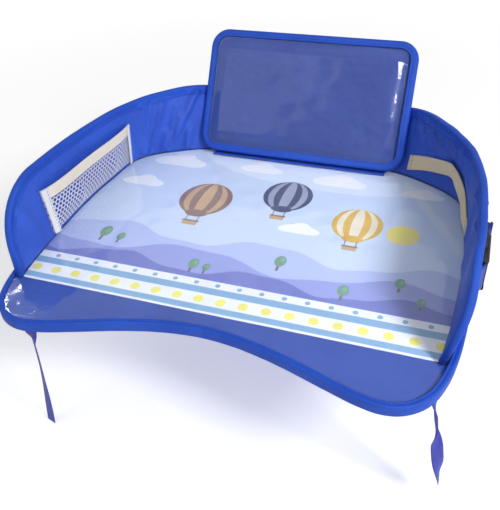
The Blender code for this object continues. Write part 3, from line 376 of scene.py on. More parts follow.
# %% Ribbed bands
def ribbed_finish(name, colour, groove_shade_and_patch_colour, along, across, roughness, depth):
    """Webbing or elastic: ribs along the band, with painted shade in the grooves between them."""
    material, tree, shader, cloth_map = new_finish(
        name, roughness, Sheen_Weight=0.15, Sheen_Roughness=0.5, Specular_IOR_Level=0.35
    )
    ribs_out = use_group(tree, rib_group, map=cloth_map, ribs_along=along, ribs_across=across)
    worn = use_group(tree, handling_group, map=cloth_map, patches=40.0, specks=1800.0)
    # The grooves between the ribs are darker: painted shade. The patches are the band's own tone
    base = mix_colours(tree, ribs_out["Groove shade"], opaque(colour), opaque(groove_shade_and_patch_colour))
    base = mix_colours(tree, times(tree, worn["Patch"], 0.3), base, opaque(groove_shade_and_patch_colour))
    paint(tree, shader, base, remap(tree, worn["Patch"], 0.0, 1.0, roughness, roughness - 0.1))
    broad = add_bump(tree, shader, worn["Rumple"], 0.0003)
    add_bump(tree, shader, ribs_out["Height"], depth, 0.8, broad)
    return material


WEBBING_BLUE, WEBBING_DEEP = (0.028, 0.085, 0.48), (0.015, 0.05, 0.33)
# The tans are paler than the band's own colour: painted light for a band the wall shades
TAN_PALE, TAN_DEEP = (0.97, 0.85, 0.60), (0.86, 0.70, 0.45)
CREAM_PALE, CREAM_DEEP = (0.94, 0.87, 0.76), (0.88, 0.78, 0.66)
TAPE_WHITE, TAPE_GREY = (0.93, 0.93, 0.96), (0.84, 0.85, 0.90)

# The second colour is painted shade in the grooves, and also the tone of darker patches
# After its two colours, each takes its ribs along and across in a metre, roughness and depth
webbing = ribbed_finish("blue_webbing", WEBBING_BLUE, WEBBING_DEEP, 700.0, 640.0, 0.6, 0.0004)
band_elastic = ribbed_finish("tan_elastic", TAN_PALE, TAN_DEEP, 1500.0, 1000.0, 0.75, 0.0003)
pocket_elastic = ribbed_finish("cream_elastic", CREAM_PALE, CREAM_DEEP, 1500.0, 900.0, 0.75, 0.0002)
white_tape = ribbed_finish("white_tape", TAPE_WHITE, TAPE_GREY, 1500.0, 900.0, 0.7, 0.0002)
print("ribbed finishes:", webbing.name, band_elastic.name, pocket_elastic.name, white_tape.name)

# %% [markdown]
# The clear film is soft plastic about half a millimetre thick. Real glass shaders bend light,
# and lamps can't reach through them without heavy noise, so for rays that look for a lamp the
# film is swapped for a plain transparent shader. Everything else sees true clear plastic, with
# its gloss. Its broad ripples are in its mesh, and the finer ones are a bump.

# %% Film finish
def film_finish(name, tint, ripple):
    """Clear flexible film with faint scuffs."""
    material, tree, shader, cloth_map = new_finish(
        name, 0.06, Transmission_Weight=1.0, IOR=1.33, Specular_IOR_Level=0.5
    )
    worn = use_group(tree, handling_group, map=cloth_map, patches=26.0, specks=700.0)
    paint(tree, shader, opaque(tint), remap(tree, worn["Patch"], 0.0, 1.0, 0.03, 0.13))
    add_bump(tree, shader, worn["Rumple"], ripple)
    lamp_ray = add_node(tree, "ShaderNodeLightPath").outputs["Is Shadow Ray"]
    clear = add_node(tree, "ShaderNodeBsdfTransparent")
    clear.inputs["Color"].default_value = opaque(tint)
    swap = add_node(tree, "ShaderNodeMixShader")
    feed(tree, swap.inputs[0], lamp_ray)
    feed(tree, swap.inputs[1], shader.outputs[0])
    feed(tree, swap.inputs[2], clear.outputs[0])
    feed(tree, tree.nodes["Material Output"].inputs["Surface"], swap.outputs[0])
    return material


# The table's film is tinted grey: partly a real film's loss, partly painted shade on what is under
# it
table_film = film_finish("clear_table_film", (0.925, 0.925, 0.93), 0.00014)
# The holder's film is tinted darker still: painted shade over the holder behind it
holder_film = film_finish("holder_film_with_painted_shade", (0.81, 0.81, 0.82), 0.00004)

# %% [markdown]
# Moulded black plastic is never quite even either. Its corners are rubbed a little paler, and
# its flats carry the fine spark texture of the mould. Foam and board are only seen where a
# seam opens, but they get their cells and grain as well.

# %% Plastic, foam and board finishes
wear_group, given, results = new_group(
    "rubbed corners",
    [("Reach", "Float", 0.06), ("Grain", "Float", 2500.0)],
    [("Rubbed", "Float"), ("Grain", "Float")],
)
corner = add_node(wear_group, "ShaderNodeNewGeometry").outputs["Pointiness"]
edge_high = plus(wear_group, 0.5, given["Reach"])
feed(wear_group, results["Rubbed"], remap(wear_group, corner, 0.505, edge_high, smooth=True))
place = add_node(wear_group, "ShaderNodeTexCoord").outputs["Object"]
feed(wear_group, results["Grain"], noise_at(wear_group, place, given["Grain"], 1.0))


def moulded_finish(name, colour, rubbed, roughness, grain):
    """Moulded plastic or board with rubbed corners and a fine grain."""
    material, tree, shader, _ = new_finish(name, roughness, Specular_IOR_Level=0.5)
    wear = use_group(tree, wear_group, reach=0.08, grain=grain)
    base = mix_colours(tree, wear["Rubbed"], opaque(colour), opaque(rubbed))
    rough = remap(tree, wear["Grain"], 0.3, 0.7, roughness - 0.05, roughness + 0.1)
    paint(tree, shader, base, rough)
    add_bump(tree, shader, wear["Grain"], 0.00006, 0.7)
    return material


PLASTIC_BLACK, PLASTIC_RUBBED = (0.010, 0.010, 0.012), (0.05, 0.05, 0.055)
black_plastic = moulded_finish("black_buckle_plastic", PLASTIC_BLACK, PLASTIC_RUBBED, 0.42, 2600.0)
grey_board = moulded_finish("grey_stiff_board", (0.20, 0.20, 0.22), (0.3, 0.3, 0.32), 0.6, 900.0)
foam_cells = moulded_finish("white_foam", (0.84, 0.84, 0.82), (0.9, 0.9, 0.88), 0.9, 1500.0)
print("moulded finishes:", black_plastic.name, grey_board.name, foam_cells.name)

# %% [markdown]
# ## Floor and light
#
# The photograph was taken against plain white. The floor is nearly white and lies just under
# the ties, which hang below the table, and keeps the table's soft shadow. It glows for the
# camera, more so away from the table, as a lit backdrop does. The world gives an even light
# from all round, one large lamp from the right gives the cloth its shape, a broad weak one
# fills in from the left, and a small one behind the left corner shows up as glints in the film.

# %% Floor
FLOOR_CLEARANCE = 1.0 * MM
FLOOR_SIZE = 8.0
GLOW_NEAR, GLOW_FAR = 0.44, 0.85
GLOW_STARTS, GLOW_ENDS = 0.4, 2.2
WHITE = opaque((1.0, 1.0, 1.0))
floor_z = cad_low.z - FLOOR_CLEARANCE
floor_mesh = bpy.data.meshes.new("floor")
reach = FLOOR_SIZE / 2
floor_corners = [(-reach, -reach, 0), (reach, -reach, 0), (reach, reach, 0), (-reach, reach, 0)]
floor_mesh.from_pydata(floor_corners, [], [(0, 1, 2, 3)])
floor = bpy.data.objects.new("floor", floor_mesh)
floor.location.z = floor_z
scene.collection.objects.link(floor)
floor_paint = bpy.data.materials.new("pale_floor")
floor_paint.use_nodes = True
tree = floor_paint.node_tree
shader = tree.nodes["Principled BSDF"]
shader.inputs["Base Color"].default_value = opaque((0.93, 0.93, 0.93))
shader.inputs["Roughness"].default_value = 0.9
shader.inputs["Specular IOR Level"].default_value = 0.1
shader.inputs["Emission Color"].default_value = WHITE
seen = add_node(tree, "ShaderNodeLightPath").outputs["Is Camera Ray"]
away = add_node(tree, "ShaderNodeVectorMath", operation="LENGTH")
feed(tree, away.inputs[0], add_node(tree, "ShaderNodeTexCoord").outputs["Object"])
distance_out = away.outputs["Value"]
glow = remap(tree, distance_out, GLOW_STARTS, GLOW_ENDS, GLOW_NEAR, GLOW_FAR, smooth=True)
feed(tree, shader.inputs["Emission Strength"], times(tree, seen, glow))
floor_mesh.materials.append(floor_paint)

# %% World
WORLD_LIGHT = 0.30
WORLD_IN_GLOSS = 0.40
world = bpy.data.worlds.new("studio")
world.use_nodes = True
scene.world = world
tree = world.node_tree
paths = add_node(tree, "ShaderNodeLightPath").outputs
shown = calculate(tree, "MAXIMUM", paths["Is Camera Ray"], paths["Is Transmission Ray"])
dimmed = remap(tree, paths["Is Glossy Ray"], 0.0, 1.0, WORLD_LIGHT, WORLD_IN_GLOSS)
strength = remap(tree, shown, 0.0, 1.0, dimmed, 1.0)
feed(tree, tree.nodes["Background"].inputs["Color"], WHITE)
feed(tree, tree.nodes["Background"].inputs["Strength"], strength)


# %% Lamps
def add_lamp(name, place, target, size, power):
    """A square lamp that faces a target."""
    light = bpy.data.lights.new(name, "AREA")
    light.shape = "SQUARE"
    light.size = size
    light.energy = power
    lamp = bpy.data.objects.new(name, light)
    lamp.location = place
    lamp.rotation_euler = (Vector(target) - Vector(place)).to_track_quat("-Z", "Y").to_euler()
    scene.collection.objects.link(lamp)


table_middle = (cad_low + cad_high) / 2
front_left_corner = (-180 * MM, -140 * MM, 8 * MM)
add_lamp("large_side_lamp", (1.15, -0.6, 1.05), table_middle, 0.4, 16.5)
add_lamp("fill_lamp", (-0.9, -0.9, 1.1), table_middle, 1.2, 3.4)
add_lamp("glint_lamp", (-0.92, 0.52, 0.78), front_left_corner, 0.05, 0.2)

# %% [markdown]
# ## The outline of the table
#
# Everything sewn follows one line: the edge of the table, with a bay for the child's belly at
# the front. A few knots give its shape as shares of the half width and half depth, and a smooth
# closed curve runs through them. A Bezier curve object could do the same, but with plain numbers
# every later piece can ask for a point, and for the way out of the table at that point.

# %% Sizes of the table
BASE_WIDTH = 400.0 * MM
BASE_DEPTH = 340.0 * MM
BELLY_DEPTH = 32.5 * MM
GAP = 0.3 * MM
COVER_THICKNESS = 0.6 * MM
FILM_THICKNESS = 0.5 * MM
TABLE_TOP_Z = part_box("clear_cover")[1].z
OUTLINE_STEPS = 960
BELLY_EDGE_SHARES = ((0.0, 1.0), (0.215, 0.846), (0.365, 0.6), (0.6, 0.123), (0.788, 0.0))
SIDE_EDGE_SHARES = (
    (0.885, -0.9265), (0.945, -0.785), (0.98, -0.562), (0.995, -0.303), (1.0, 0.138),
    (0.98, 0.406), (0.933, 0.65), (0.769, 0.818), (0.605, 0.912), (0.42, 0.969),
)


# %% Smooth closed curve
def unit(vectors):
    """Vectors of length one."""
    return vectors / np.linalg.norm(vectors, axis=-1, keepdims=True)


def closed_spline(knots, samples):
    """Points at even steps along the smooth closed curve through the knots."""
    knots = np.array(knots)
    count = len(knots)
    spans = np.linalg.norm(np.roll(knots, -1, axis=0) - knots, axis=1)
    system = np.zeros((count, count))
    right = np.zeros_like(knots)
    for i in range(count):
        before, after = spans[i - 1], spans[i]
        following = (i + 1) % count
        system[i, i - 1] = 1 / before
        system[i, i] = 2 / before + 2 / after
        system[i, following] = 1 / after
        rise_before = (knots[i] - knots[i - 1]) / before**2
        rise_after = (knots[following] - knots[i]) / after**2
        right[i] = 3 * (rise_before + rise_after)
    slopes = np.linalg.solve(system, right)
    dense = []
    t = np.linspace(0, 1, samples, endpoint=False)[:, None]
    for i in range(count):
        j = (i + 1) % count
        dense.append(
            (2 * t**3 - 3 * t**2 + 1) * knots[i]
            + (t**3 - 2 * t**2 + t) * spans[i] * slopes[i]
            + (3 * t**2 - 2 * t**3) * knots[j]
            + (t**3 - t**2) * spans[i] * slopes[j]
        )
    dense = np.vstack(dense)
    closed = np.vstack([dense, dense[:1]])
    lengths = running_length(closed)
    targets = np.linspace(0, lengths[-1], samples, endpoint=False)
    return np.stack([np.interp(targets, lengths, closed[:, axis]) for axis in (0, 1)], axis=1)


def running_length(points):
    """Length along a line of points, from its first."""
    steps = np.linalg.norm(np.diff(points, axis=0), axis=1)
    return np.concatenate([[0.0], np.cumsum(steps)])


half_width, half_depth = BASE_WIDTH / 2, BASE_DEPTH / 2
right_half = [(x * half_width, depth * BELLY_DEPTH - half_depth) for x, depth in BELLY_EDGE_SHARES]
right_half += [(x * half_width, y * half_depth) for x, y in SIDE_EDGE_SHARES]
left_half = [(-x, y) for x, y in reversed(right_half[1:])]
outline = closed_spline(right_half + [(0.0, half_depth)] + left_half, OUTLINE_STEPS)
along = unit(np.roll(outline, -1, axis=0) - np.roll(outline, 1, axis=0))
outline_normals = np.stack([along[:, 1], -along[:, 0]], axis=1)
outline_length = running_length(np.vstack([outline, outline[:1]]))[-1]
print("outline length in mm:", round(1000 * outline_length, 1))


# %% Places along the outline
def plan_at(places, inset=0.0):
    """Points and outward normals at places along the outline, moved inwards."""
    position = np.mod(places, 1.0) * OUTLINE_STEPS
    index = np.floor(position).astype(int) % OUTLINE_STEPS
    share = (position - np.floor(position))[..., None]
    after = (index + 1) % OUTLINE_STEPS
    points = outline[index] * (1 - share) + outline[after] * share
    normals = unit(outline_normals[index] * (1 - share) + outline_normals[after] * share)
    return points - normals * np.asarray(inset)[..., None], normals


def bisect(is_before, low, high):
    """Narrow a range down to where a test stops being true."""
    for _ in range(40):
        middle = (low + high) / 2
        if is_before(middle):
            low = middle
        else:
            high = middle
    return low


def place_at_y(y, right_side, inset=0.0):
    """Place along the outline where the right or left side passes this y."""
    place = bisect(lambda spot: plan_at(spot, inset)[0][1] < y, 0.1, 0.5)
    return place if right_side else 1.0 - place


def place_at_x(x, inset):
    """Place along the right half of the back where the inset outline passes this x."""
    first = place_at_y(0.0, True, inset)
    return bisect(lambda spot: plan_at(spot, inset)[0][0] > x, first, 0.5)


# %% [markdown]
# ## The wall's own frame
#
# The soft wall stands on the table's edge. It flares at its front ends, is drawn in at the back
# corners and leans far out at the back, where the holder pushes it. A short table holds its lean
# and height at places along it, chosen so that its rim lies on the rim's line in the photograph.
# Any point on the wall is found from three numbers: a place along the outline, a run up the
# slant, and a depth from its outer face. Cloth, foam, tape, pocket and straps all ask the same
# functions, so they can't drift apart.

# %% Sizes of the wall
WALL_LEDGE = 7.6 * MM
WALL_HEIGHT = 71.0 * MM
WALL_END_SETBACK = 55.0 * MM
WALL_RISE = 62.0 * MM
WALL_CLOTH = 0.8 * MM
WALL_FOAM = 3.0 * MM
WALL_START = 3.0 * MM
RIM_LAP = 7.5 * MM
PINCH = 1.3 * MM
PINCH_FROM = 0.73
RIM_THICKNESS = 0.9 * MM
WALL_FOOT_Z = TABLE_TOP_Z + GAP
OUTER_DEPTH = WALL_CLOTH / 2
FOAM_DEPTH = WALL_CLOTH + GAP + WALL_FOAM / 2
INNER_DEPTH = WALL_CLOTH + 2 * GAP + WALL_FOAM + WALL_CLOTH / 2
WALL_THICKNESS = INNER_DEPTH + WALL_CLOTH / 2
INNER_FACE_INSET = WALL_LEDGE + WALL_THICKNESS
# Each row: how far along the wall in millimetres, its lean in degrees, its height in millimetres
WALL_SHAPE = (
    (0, 17.0, 71.5), (30, 5.1, 71.1), (65, 5.2, 71.0), (105, 2.7, 71.0), (150, 1.1, 71.0),
    (195, -3.2, 69.9), (225, -9.7, 70.0), (255, -5.1, 69.2), (285, 6.3, 66.1),
    (306, 20.6, 64.3), (330, 30.1, 63.2), (350, 31.0, 61.4), (510, 31.0, 61.4),
    (530, 30.2, 65.0), (552, 22.9, 67.7), (575, 10.9, 66.8), (605, -1.5, 68.5),
    (640, -8.2, 69.6), (675, -3.4, 70.3), (715, -1.1, 70.6), (760, 1.8, 71.0),
    (800, 3.8, 71.4), (834, 5.9, 70.8), (864, 10.7, 71.3),
)

wall_start = place_at_y(WALL_END_SETBACK - half_depth, True, WALL_LEDGE)
wall_length = (1 - 2 * wall_start) * outline_length
print("wall length in mm:", round(1000 * wall_length, 1))


# %% Lean and height along the wall
SHAPE_SMOOTHING = 19.0
shape_places, shape_leans, shape_heights = np.array(WALL_SHAPE).T
shape_steps = np.arange(0.0, wall_length, 1 * MM)
smoothing = np.linspace(-SHAPE_SMOOTHING, SHAPE_SMOOTHING, 15)[:, None] * MM
shape_spots = np.clip(shape_steps + smoothing, 0, wall_length) / MM
lean_steps = np.radians(np.interp(shape_spots, shape_places, shape_leans).mean(axis=0))
height_steps = np.interp(shape_spots, shape_places, shape_heights).mean(axis=0) * MM


def from_ends(distance):
    """Distance along the wall from the nearer of its two ends."""
    return np.minimum(distance, wall_length - distance)


def place_on_wall(distance):
    """Place along the outline of a distance along the wall."""
    return wall_start + distance / outline_length


def distance_on_wall(place):
    """Distance along the wall of a place along the outline."""
    return (place - wall_start) * outline_length


def lean_at(places):
    """How far the wall leans out, in radians."""
    return np.interp(distance_on_wall(places), shape_steps, lean_steps)


def short_of_full(from_end):
    """How far short of its full height the wall is near its ends, as a share."""
    return 1 - np.clip(from_end / WALL_RISE, 0.0, 1.0)


def wall_top(places, from_end):
    """Length of the wall's slant from foot to rim."""
    height = np.interp(distance_on_wall(places), shape_steps, height_steps)
    return height * np.sqrt(1 - short_of_full(from_end) ** 2)


# %% Points on the wall
def outer_face(places, run):
    """Points of the wall's outer face, this far up its slant."""
    foot, normals = plan_at(places, WALL_LEDGE)
    lean = lean_at(places)
    flat = foot + normals * (run * np.sin(lean))[..., None]
    return np.concatenate([flat, (WALL_FOOT_Z + run * np.cos(lean))[..., None]], axis=-1)


def wall_normal(places, run):
    """Outward normals of the wall's outer face."""
    step = WALL_START / outline_length
    along_wall = outer_face(places + step, run) - outer_face(places - step, run)
    up_wall = outer_face(places, run + WALL_START) - outer_face(places, run)
    return unit(np.cross(along_wall, up_wall))


def wall_point(places, from_end, share_up, depth, thickness=0.0):
    """Points in the wall: how far along and up it, and how deep from its outer face."""
    lean = lean_at(places)
    foot = (thickness / 2 - depth) * np.tan(lean)
    run = foot + (wall_top(places, from_end) - foot) * share_up
    return outer_face(places, run) - wall_normal(places, run) * np.asarray(depth)[..., None]


def wall_columns(end_steps, step):
    """Distances along the wall, closer together where its two ends rise."""
    first = math.acos(1 - WALL_START / WALL_RISE)
    rise = WALL_RISE * (1 - np.cos(np.linspace(first, math.pi / 2, end_steps)))
    count = round((wall_length - 2 * WALL_RISE) / step)
    middle = np.linspace(WALL_RISE, wall_length - WALL_RISE, count + 1)
    return np.concatenate([rise[:-1], middle, wall_length - rise[-2::-1]])


# %% [markdown]
# ## Making sheets
#
# Nearly every piece here is a sheet: rows of points joined by quads. One helper builds the mesh
# with numpy, which is fast, and also writes the cloth's map: how many metres each point lies
# along and across the sheet. The weave is drawn on that map, so it follows the sheet round every
# bend. A second helper gives the sheet its thickness with Solidify and puts it on its body.

# %% Sheet helpers
def make_mesh(name, points, faces, maps):
    """A smooth mesh object with a map in metres for each face's corners."""
    mesh = bpy.data.meshes.new(name)
    mesh.from_pydata(np.asarray(points).reshape(-1, 3).tolist(), [], faces)
    layer = mesh.uv_layers.new(name="cloth")
    layer.data.foreach_set("uv", np.asarray(maps, dtype=np.float32).ravel())
    mesh.shade_smooth()
    piece = bpy.data.objects.new(name, mesh)
    scene.collection.objects.link(piece)
    return piece


def sheet_mesh(name, rows, closed=False):
    """A sheet through rows of points. A closed one joins its last row to its first."""
    rows = np.asarray(rows)
    count, width = rows.shape[:2]
    last = count if closed else count - 1
    looped = np.concatenate([rows, rows[:1]]) if closed else rows
    lengthwise = running_length(looped[:, width // 2])
    steps_across = np.linalg.norm(np.diff(looped, axis=1), axis=2)
    crosswise = np.pad(np.cumsum(steps_across, axis=1), ((0, 0), (1, 0)))
    i, j = np.indices((last, width - 1))
    here, beyond = i * width + j, (i + 1) % count * width + j
    faces = np.stack([here, here + 1, beyond + 1, beyond], axis=-1).reshape(-1, 4).tolist()
    corners = []
    for add_row, add_column in ((0, 0), (0, 1), (1, 1), (1, 0)):
        u = lengthwise[i + add_row]
        v = crosswise[i + add_row, j + add_column]
        corners.append(np.stack([u, v], axis=-1))
    return make_mesh(name, rows, faces, np.stack(corners, axis=2))


def disc_mesh(name, edge, centre, rings, height):
    """A flat sheet inside an edge that every ray from its centre meets once."""
    edge = np.asarray(edge)
    centre = np.asarray(centre)
    shares = np.sqrt(np.linspace(0, 1, rings + 1)[1:])
    shares = np.concatenate([shares[:-1], [1 - 0.2 * (1 - shares[-2]), 1.0]])
    flat = np.concatenate([[centre]] + [centre + (edge - centre) * share for share in shares])
    points = np.concatenate([flat, height(flat[:, 0], flat[:, 1])[:, None]], axis=1)
    count = len(edge)
    k = np.arange(count)
    following = (k + 1) % count
    faces = [[0, 1 + a, 1 + b] for a, b in zip(k, following)]
    for ring in range(len(shares) - 1):
        inner, outer = 1 + ring * count, 1 + (ring + 1) * count
        quads = [inner + k, outer + k, outer + following, inner + following]
        faces += np.stack(quads, axis=1).tolist()
    return make_mesh(name, points, faces, flat[np.concatenate(faces)])


def thicken(piece, thickness, rounded=False):
    """Give a sheet its thickness, evenly to both sides."""
    solidify = piece.modifiers.new("thickness", "SOLIDIFY")
    solidify.thickness = thickness
    solidify.offset = 0.0
    if rounded:
        piece.modifiers.new("softness", "SUBSURF").levels = 1
        piece.modifiers["softness"].render_levels = 1


def round_edges(piece, width, segments):
    """Round a piece's sharp edges."""
    bevel = piece.modifiers.new("round edge", "BEVEL")
    bevel.width = width
    bevel.segments = segments
    return bevel


def attach(piece, material, body, nodes):
    """Give a piece its finish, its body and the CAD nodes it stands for."""
    piece.data.materials.append(material)
    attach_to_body(piece, body)
    if nodes:
        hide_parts(*nodes)
    print(piece.name, "on", body, "with", len(piece.data.vertices), "points")


def keep_shape(node, material):
    """Leave a CAD piece's shape as it is, and only give it its finish."""
    piece = frame["nodes"][node]
    piece.data.materials.clear()
    piece.data.materials.append(material)
    print(node, "keeps its shape")
    return piece


# %% [markdown]
# ## Sewing
#
# Every tape and every trim is sewn down, and at this size the seam is what makes it look sewn.
# A lockstitch seen from one side is a row of short arches of thread, each sinking into the cloth
# at both ends. So a run of stitches is one mesh of small tapered tubes along the seam's line,
# with a thread's twist in its finish.

# %% Stitches
STITCH_PITCH = 3.2 * MM
STITCH_LENGTH = 2.5 * MM
STITCH_RADIUS = 0.24 * MM
STITCH_RINGS = 5
STITCH_SIDES = 6
THREAD_BLUE, THREAD_GROOVE_SHADE = (0.045, 0.14, 0.70), (0.02, 0.06, 0.40)

sewing_thread, tree, shader, cloth_map = new_finish("blue_sewing_thread", 0.45, Sheen_Weight=0.2)
turned = add_node(tree, "ShaderNodeVectorRotate", rotation_type="Z_AXIS")
turned.inputs["Angle"].default_value = 0.6
feed(tree, turned.inputs["Vector"], cloth_map)
twist = use_group(tree, rib_group, map=turned.outputs[0], ribs_along=1800.0, ribs_across=3600.0)
# The thread is darker in the grooves of its twist: painted shade
thread_colour = mix_colours(tree, twist["Groove shade"], opaque(THREAD_BLUE), opaque(THREAD_GROOVE_SHADE))
feed(tree, shader.inputs["Base Color"], thread_colour)
add_bump(tree, shader, twist["Height"], 0.00008, 0.8)


def stitch_run(name, path, normals, body="tray", closed=False):
    """A run of lockstitch: short arches of thread whose ends sink into the cloth."""
    path = np.asarray(path)
    normals = np.broadcast_to(normals, path.shape)
    if closed:
        path, normals = np.vstack([path, path[:1]]), np.vstack([normals, normals[:1]])
    lengths = running_length(path)
    count = max(int(lengths[-1] / STITCH_PITCH), 1)
    middles = (np.arange(count) + 0.5) * lengths[-1] / count
    across = np.linspace(-1, 1, STITCH_RINGS)
    spots = middles[:, None] + across * STITCH_LENGTH / 2

    def line_at(values, where):
        return np.stack([np.interp(where, lengths, values[:, axis]) for axis in range(3)], axis=-1)

    upward = unit(line_at(normals, spots))
    forward = unit(line_at(path, spots + 0.3 * MM) - line_at(path, spots - 0.3 * MM))
    sideways = np.cross(upward, forward)
    rise = STITCH_RADIUS * (0.75 - 1.9 * across**4)
    radius = STITCH_RADIUS * np.sqrt(1 - (0.98 * across) ** 2)
    angles = np.arange(STITCH_SIDES) * 2 * math.pi / STITCH_SIDES
    lift = upward[:, :, None] * (rise[:, None] + radius[:, None] * np.cos(angles))[..., None]
    swing = sideways[:, :, None] * (radius[:, None] * np.sin(angles))[..., None]
    points = line_at(path, spots)[:, :, None] + lift + swing
    stitch, ring, side = np.indices((count, STITCH_RINGS - 1, STITCH_SIDES))
    corners, maps = [], []
    for next_ring, next_side in ((0, 0), (1, 0), (1, 1), (0, 1)):
        ring_index = stitch * STITCH_RINGS + ring + next_ring
        corners.append(ring_index * STITCH_SIDES + (side + next_side) % STITCH_SIDES)
        u = spots[stitch, ring + next_ring]
        maps.append(np.stack([u, (side + next_side) * STITCH_RADIUS], axis=-1))
    faces = np.stack(corners, axis=-1).reshape(-1, 4).tolist()
    run = make_mesh(name, points, faces, np.stack(maps, axis=3))
    attach(run, sewing_thread, body, [])
    return run


# %% Waves
def smooth_share(value, low, high):
    """Go smoothly from 0 to 1 as a value goes from low to high."""
    share = np.clip((value - low) / (high - low), 0.0, 1.0)
    return share * share * (3 - 2 * share)


def within(value, limits):
    """Go from 0 to 1 over the first two limits, and back to 0 over the last two."""
    start, full, fading, end = limits
    return smooth_share(value, start, full) * (1 - smooth_share(value, fading, end))


def cloth_noise(x, y, seed, waves=14, longest=0.05, shortest=0.012):
    """Soft uneven waves between about -1 and 1, from a few sines in random directions."""
    source = random.Random(seed)
    total = np.zeros(np.broadcast(x, y).shape)
    for _ in range(waves):
        length = shortest * (longest / shortest) ** source.random()
        heading = source.uniform(0, math.pi)
        turn = source.uniform(0, 2 * math.pi)
        wave = (x * math.cos(heading) + y * math.sin(heading)) * 2 * math.pi / length
        total = total + np.sin(wave + turn) * (length / longest) ** 0.5
    return total / waves**0.5


def slack_noise(x, y, seed, **lengths):
    """The same soft waves, between 0 and 1."""
    return 0.5 + 0.5 * np.clip(cloth_noise(x, y, seed, **lengths), -1, 1)


# %% [markdown]
# ## The flat layers
#
# From below, the table is a cover of blue cloth, a stiff board, a thin foam, the upper cover,
# the printed sheet and the clear film. The board keeps its CAD shape, because it really is a
# flat plate, and only gets its finish. The cloths are made again with slight waves, since cloth
# over foam never lies dead flat.

# %% Sizes of the flat layers
EDGE_TAPE = 1.0 * MM
LAYER_INSET = EDGE_TAPE + 2 * GAP
INNER_MARGIN = 9.0 * MM
BASE_FOAM = 2.4 * MM
BASE_FOAM_ROUND = 0.6 * MM
PRINT_THICKNESS = 0.4 * MM
UNDERSIDE_WAVE = 0.12 * MM
FOAM_WAVE = 0.08 * MM
COVER_WAVE = 0.1 * MM
PRINT_WAVE = 0.06 * MM
PLAN_STEPS = 360
FLAT_CENTRE = (0.0, 10.0 * MM)
plan_places = np.arange(PLAN_STEPS) / PLAN_STEPS


def level(node, share=0.5):
    """Height of a flat layer's middle, or of another share of it."""
    low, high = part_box(node)
    return low.z + (high.z - low.z) * share


def from_edge(x, y):
    """Rough distance in from the outline, for waves that die out towards it."""
    nearest = np.full(len(x), 1.0)
    for edge_x, edge_y in outline[::8]:
        nearest = np.minimum(nearest, np.hypot(x - edge_x, y - edge_y))
    return nearest


# %% Underside cloth, foam and upper cloth
def underside_height(x, y):
    """The underside cloth: slack towards the board, never below the feet of the table."""
    free = smooth_share(from_edge(x, y), 0, 20 * MM)
    return level("bottom_cover") + UNDERSIDE_WAVE * slack_noise(x, y, 3) * free


cloth_edge = plan_at(plan_places, LAYER_INSET)[0]
foam_edge = plan_at(plan_places, INNER_MARGIN)[0]
underside = disc_mesh("underside_cloth", cloth_edge, FLAT_CENTRE, 44, underside_height)
thicken(underside, COVER_THICKNESS)
attach(underside, oxford, "tray", ["bottom_cover"])


def foam_height(x, y):
    """The foam's middle, with the faint waves of soft sheet."""
    return level("base_foam") + FOAM_WAVE * cloth_noise(x, y, 5)


foam_pad = disc_mesh("base_foam_pad", foam_edge, FLAT_CENTRE, 24, foam_height)
thicken(foam_pad, BASE_FOAM)
round_edges(foam_pad, BASE_FOAM_ROUND, 3)
attach(foam_pad, foam_cells, "tray", ["base_foam"])


def cover_height(x, y):
    """The upper cloth: waves over the foam that die out towards the seam."""
    free = smooth_share(from_edge(x, y), 4 * MM, 25 * MM)
    return level("top_cover") + COVER_WAVE * cloth_noise(x, y, 7) * free


# The upper cloth takes the darker copy of the Oxford cloth: painted shade under the film
upper_cloth = disc_mesh("upper_cloth", cloth_edge, FLAT_CENTRE, 60, cover_height)
thicken(upper_cloth, COVER_THICKNESS)
attach(upper_cloth, lining, "tray", ["top_cover"])

for node in ("base_board", "holder_board"):
    keep_shape(node, grey_board)

# %% [markdown]
# ## The printed sheet
#
# The play sheet is a picture printed on thin card: hills, balloons and clouds, with a border of
# dots along the front. It could be painted as an image, but then it would be fixed at one
# sharpness. Here each motif is a mask worked out from the sheet's map, and a table lists the
# motifs from back to front, as a printer lays one ink over another. The groups below turn a
# place and a size into a mask: an oval, a box, a row of hills and a row of dots.

# %% Mark groups
def mark_group(name, numbers, rule):
    """A group that puts out one mask, worked out by a rule from the map in millimetres."""
    inputs = [("Map", "Vector", None)] + [(number, "Float", 1.0) for number in numbers]
    group, given, results = new_group(name, inputs, [("Mask", "Float")])
    split = add_node(group, "ShaderNodeSeparateXYZ")
    feed(group, split.inputs[0], given["Map"])
    x = times(group, split.outputs[0], 1000.0)
    y = times(group, split.outputs[1], 1000.0)
    feed(group, results["Mask"], rule(group, given, x, y))
    return group


def length_of(group, across, upward):
    """The length of a step that goes this far across and up."""
    square = plus(group, times(group, across, across), times(group, upward, upward))
    return calculate(group, "SQRT", square)


def oval_rule(group, given, x, y):
    """One inside an oval, and soft at its rim."""
    across = calculate(group, "DIVIDE", minus(group, x, given["X"]), given["Half width"])
    upward = calculate(group, "DIVIDE", minus(group, y, given["Y"]), given["Half height"])
    edge = plus(group, 1.0, calculate(group, "DIVIDE", given["Soft"], given["Half width"]))
    return remap(group, length_of(group, across, upward), edge, 1.0, smooth=True)


def box_rule(group, given, x, y):
    """One inside a box, and soft at its rim."""
    across = calculate(group, "ABSOLUTE", minus(group, x, given["X"]))
    upward = calculate(group, "ABSOLUTE", minus(group, y, given["Y"]))
    past_x = minus(group, across, given["Half width"])
    past_y = minus(group, upward, given["Half height"])
    past = calculate(group, "MAXIMUM", past_x, past_y)
    return remap(group, past, given["Soft"], 0.0, smooth=True)


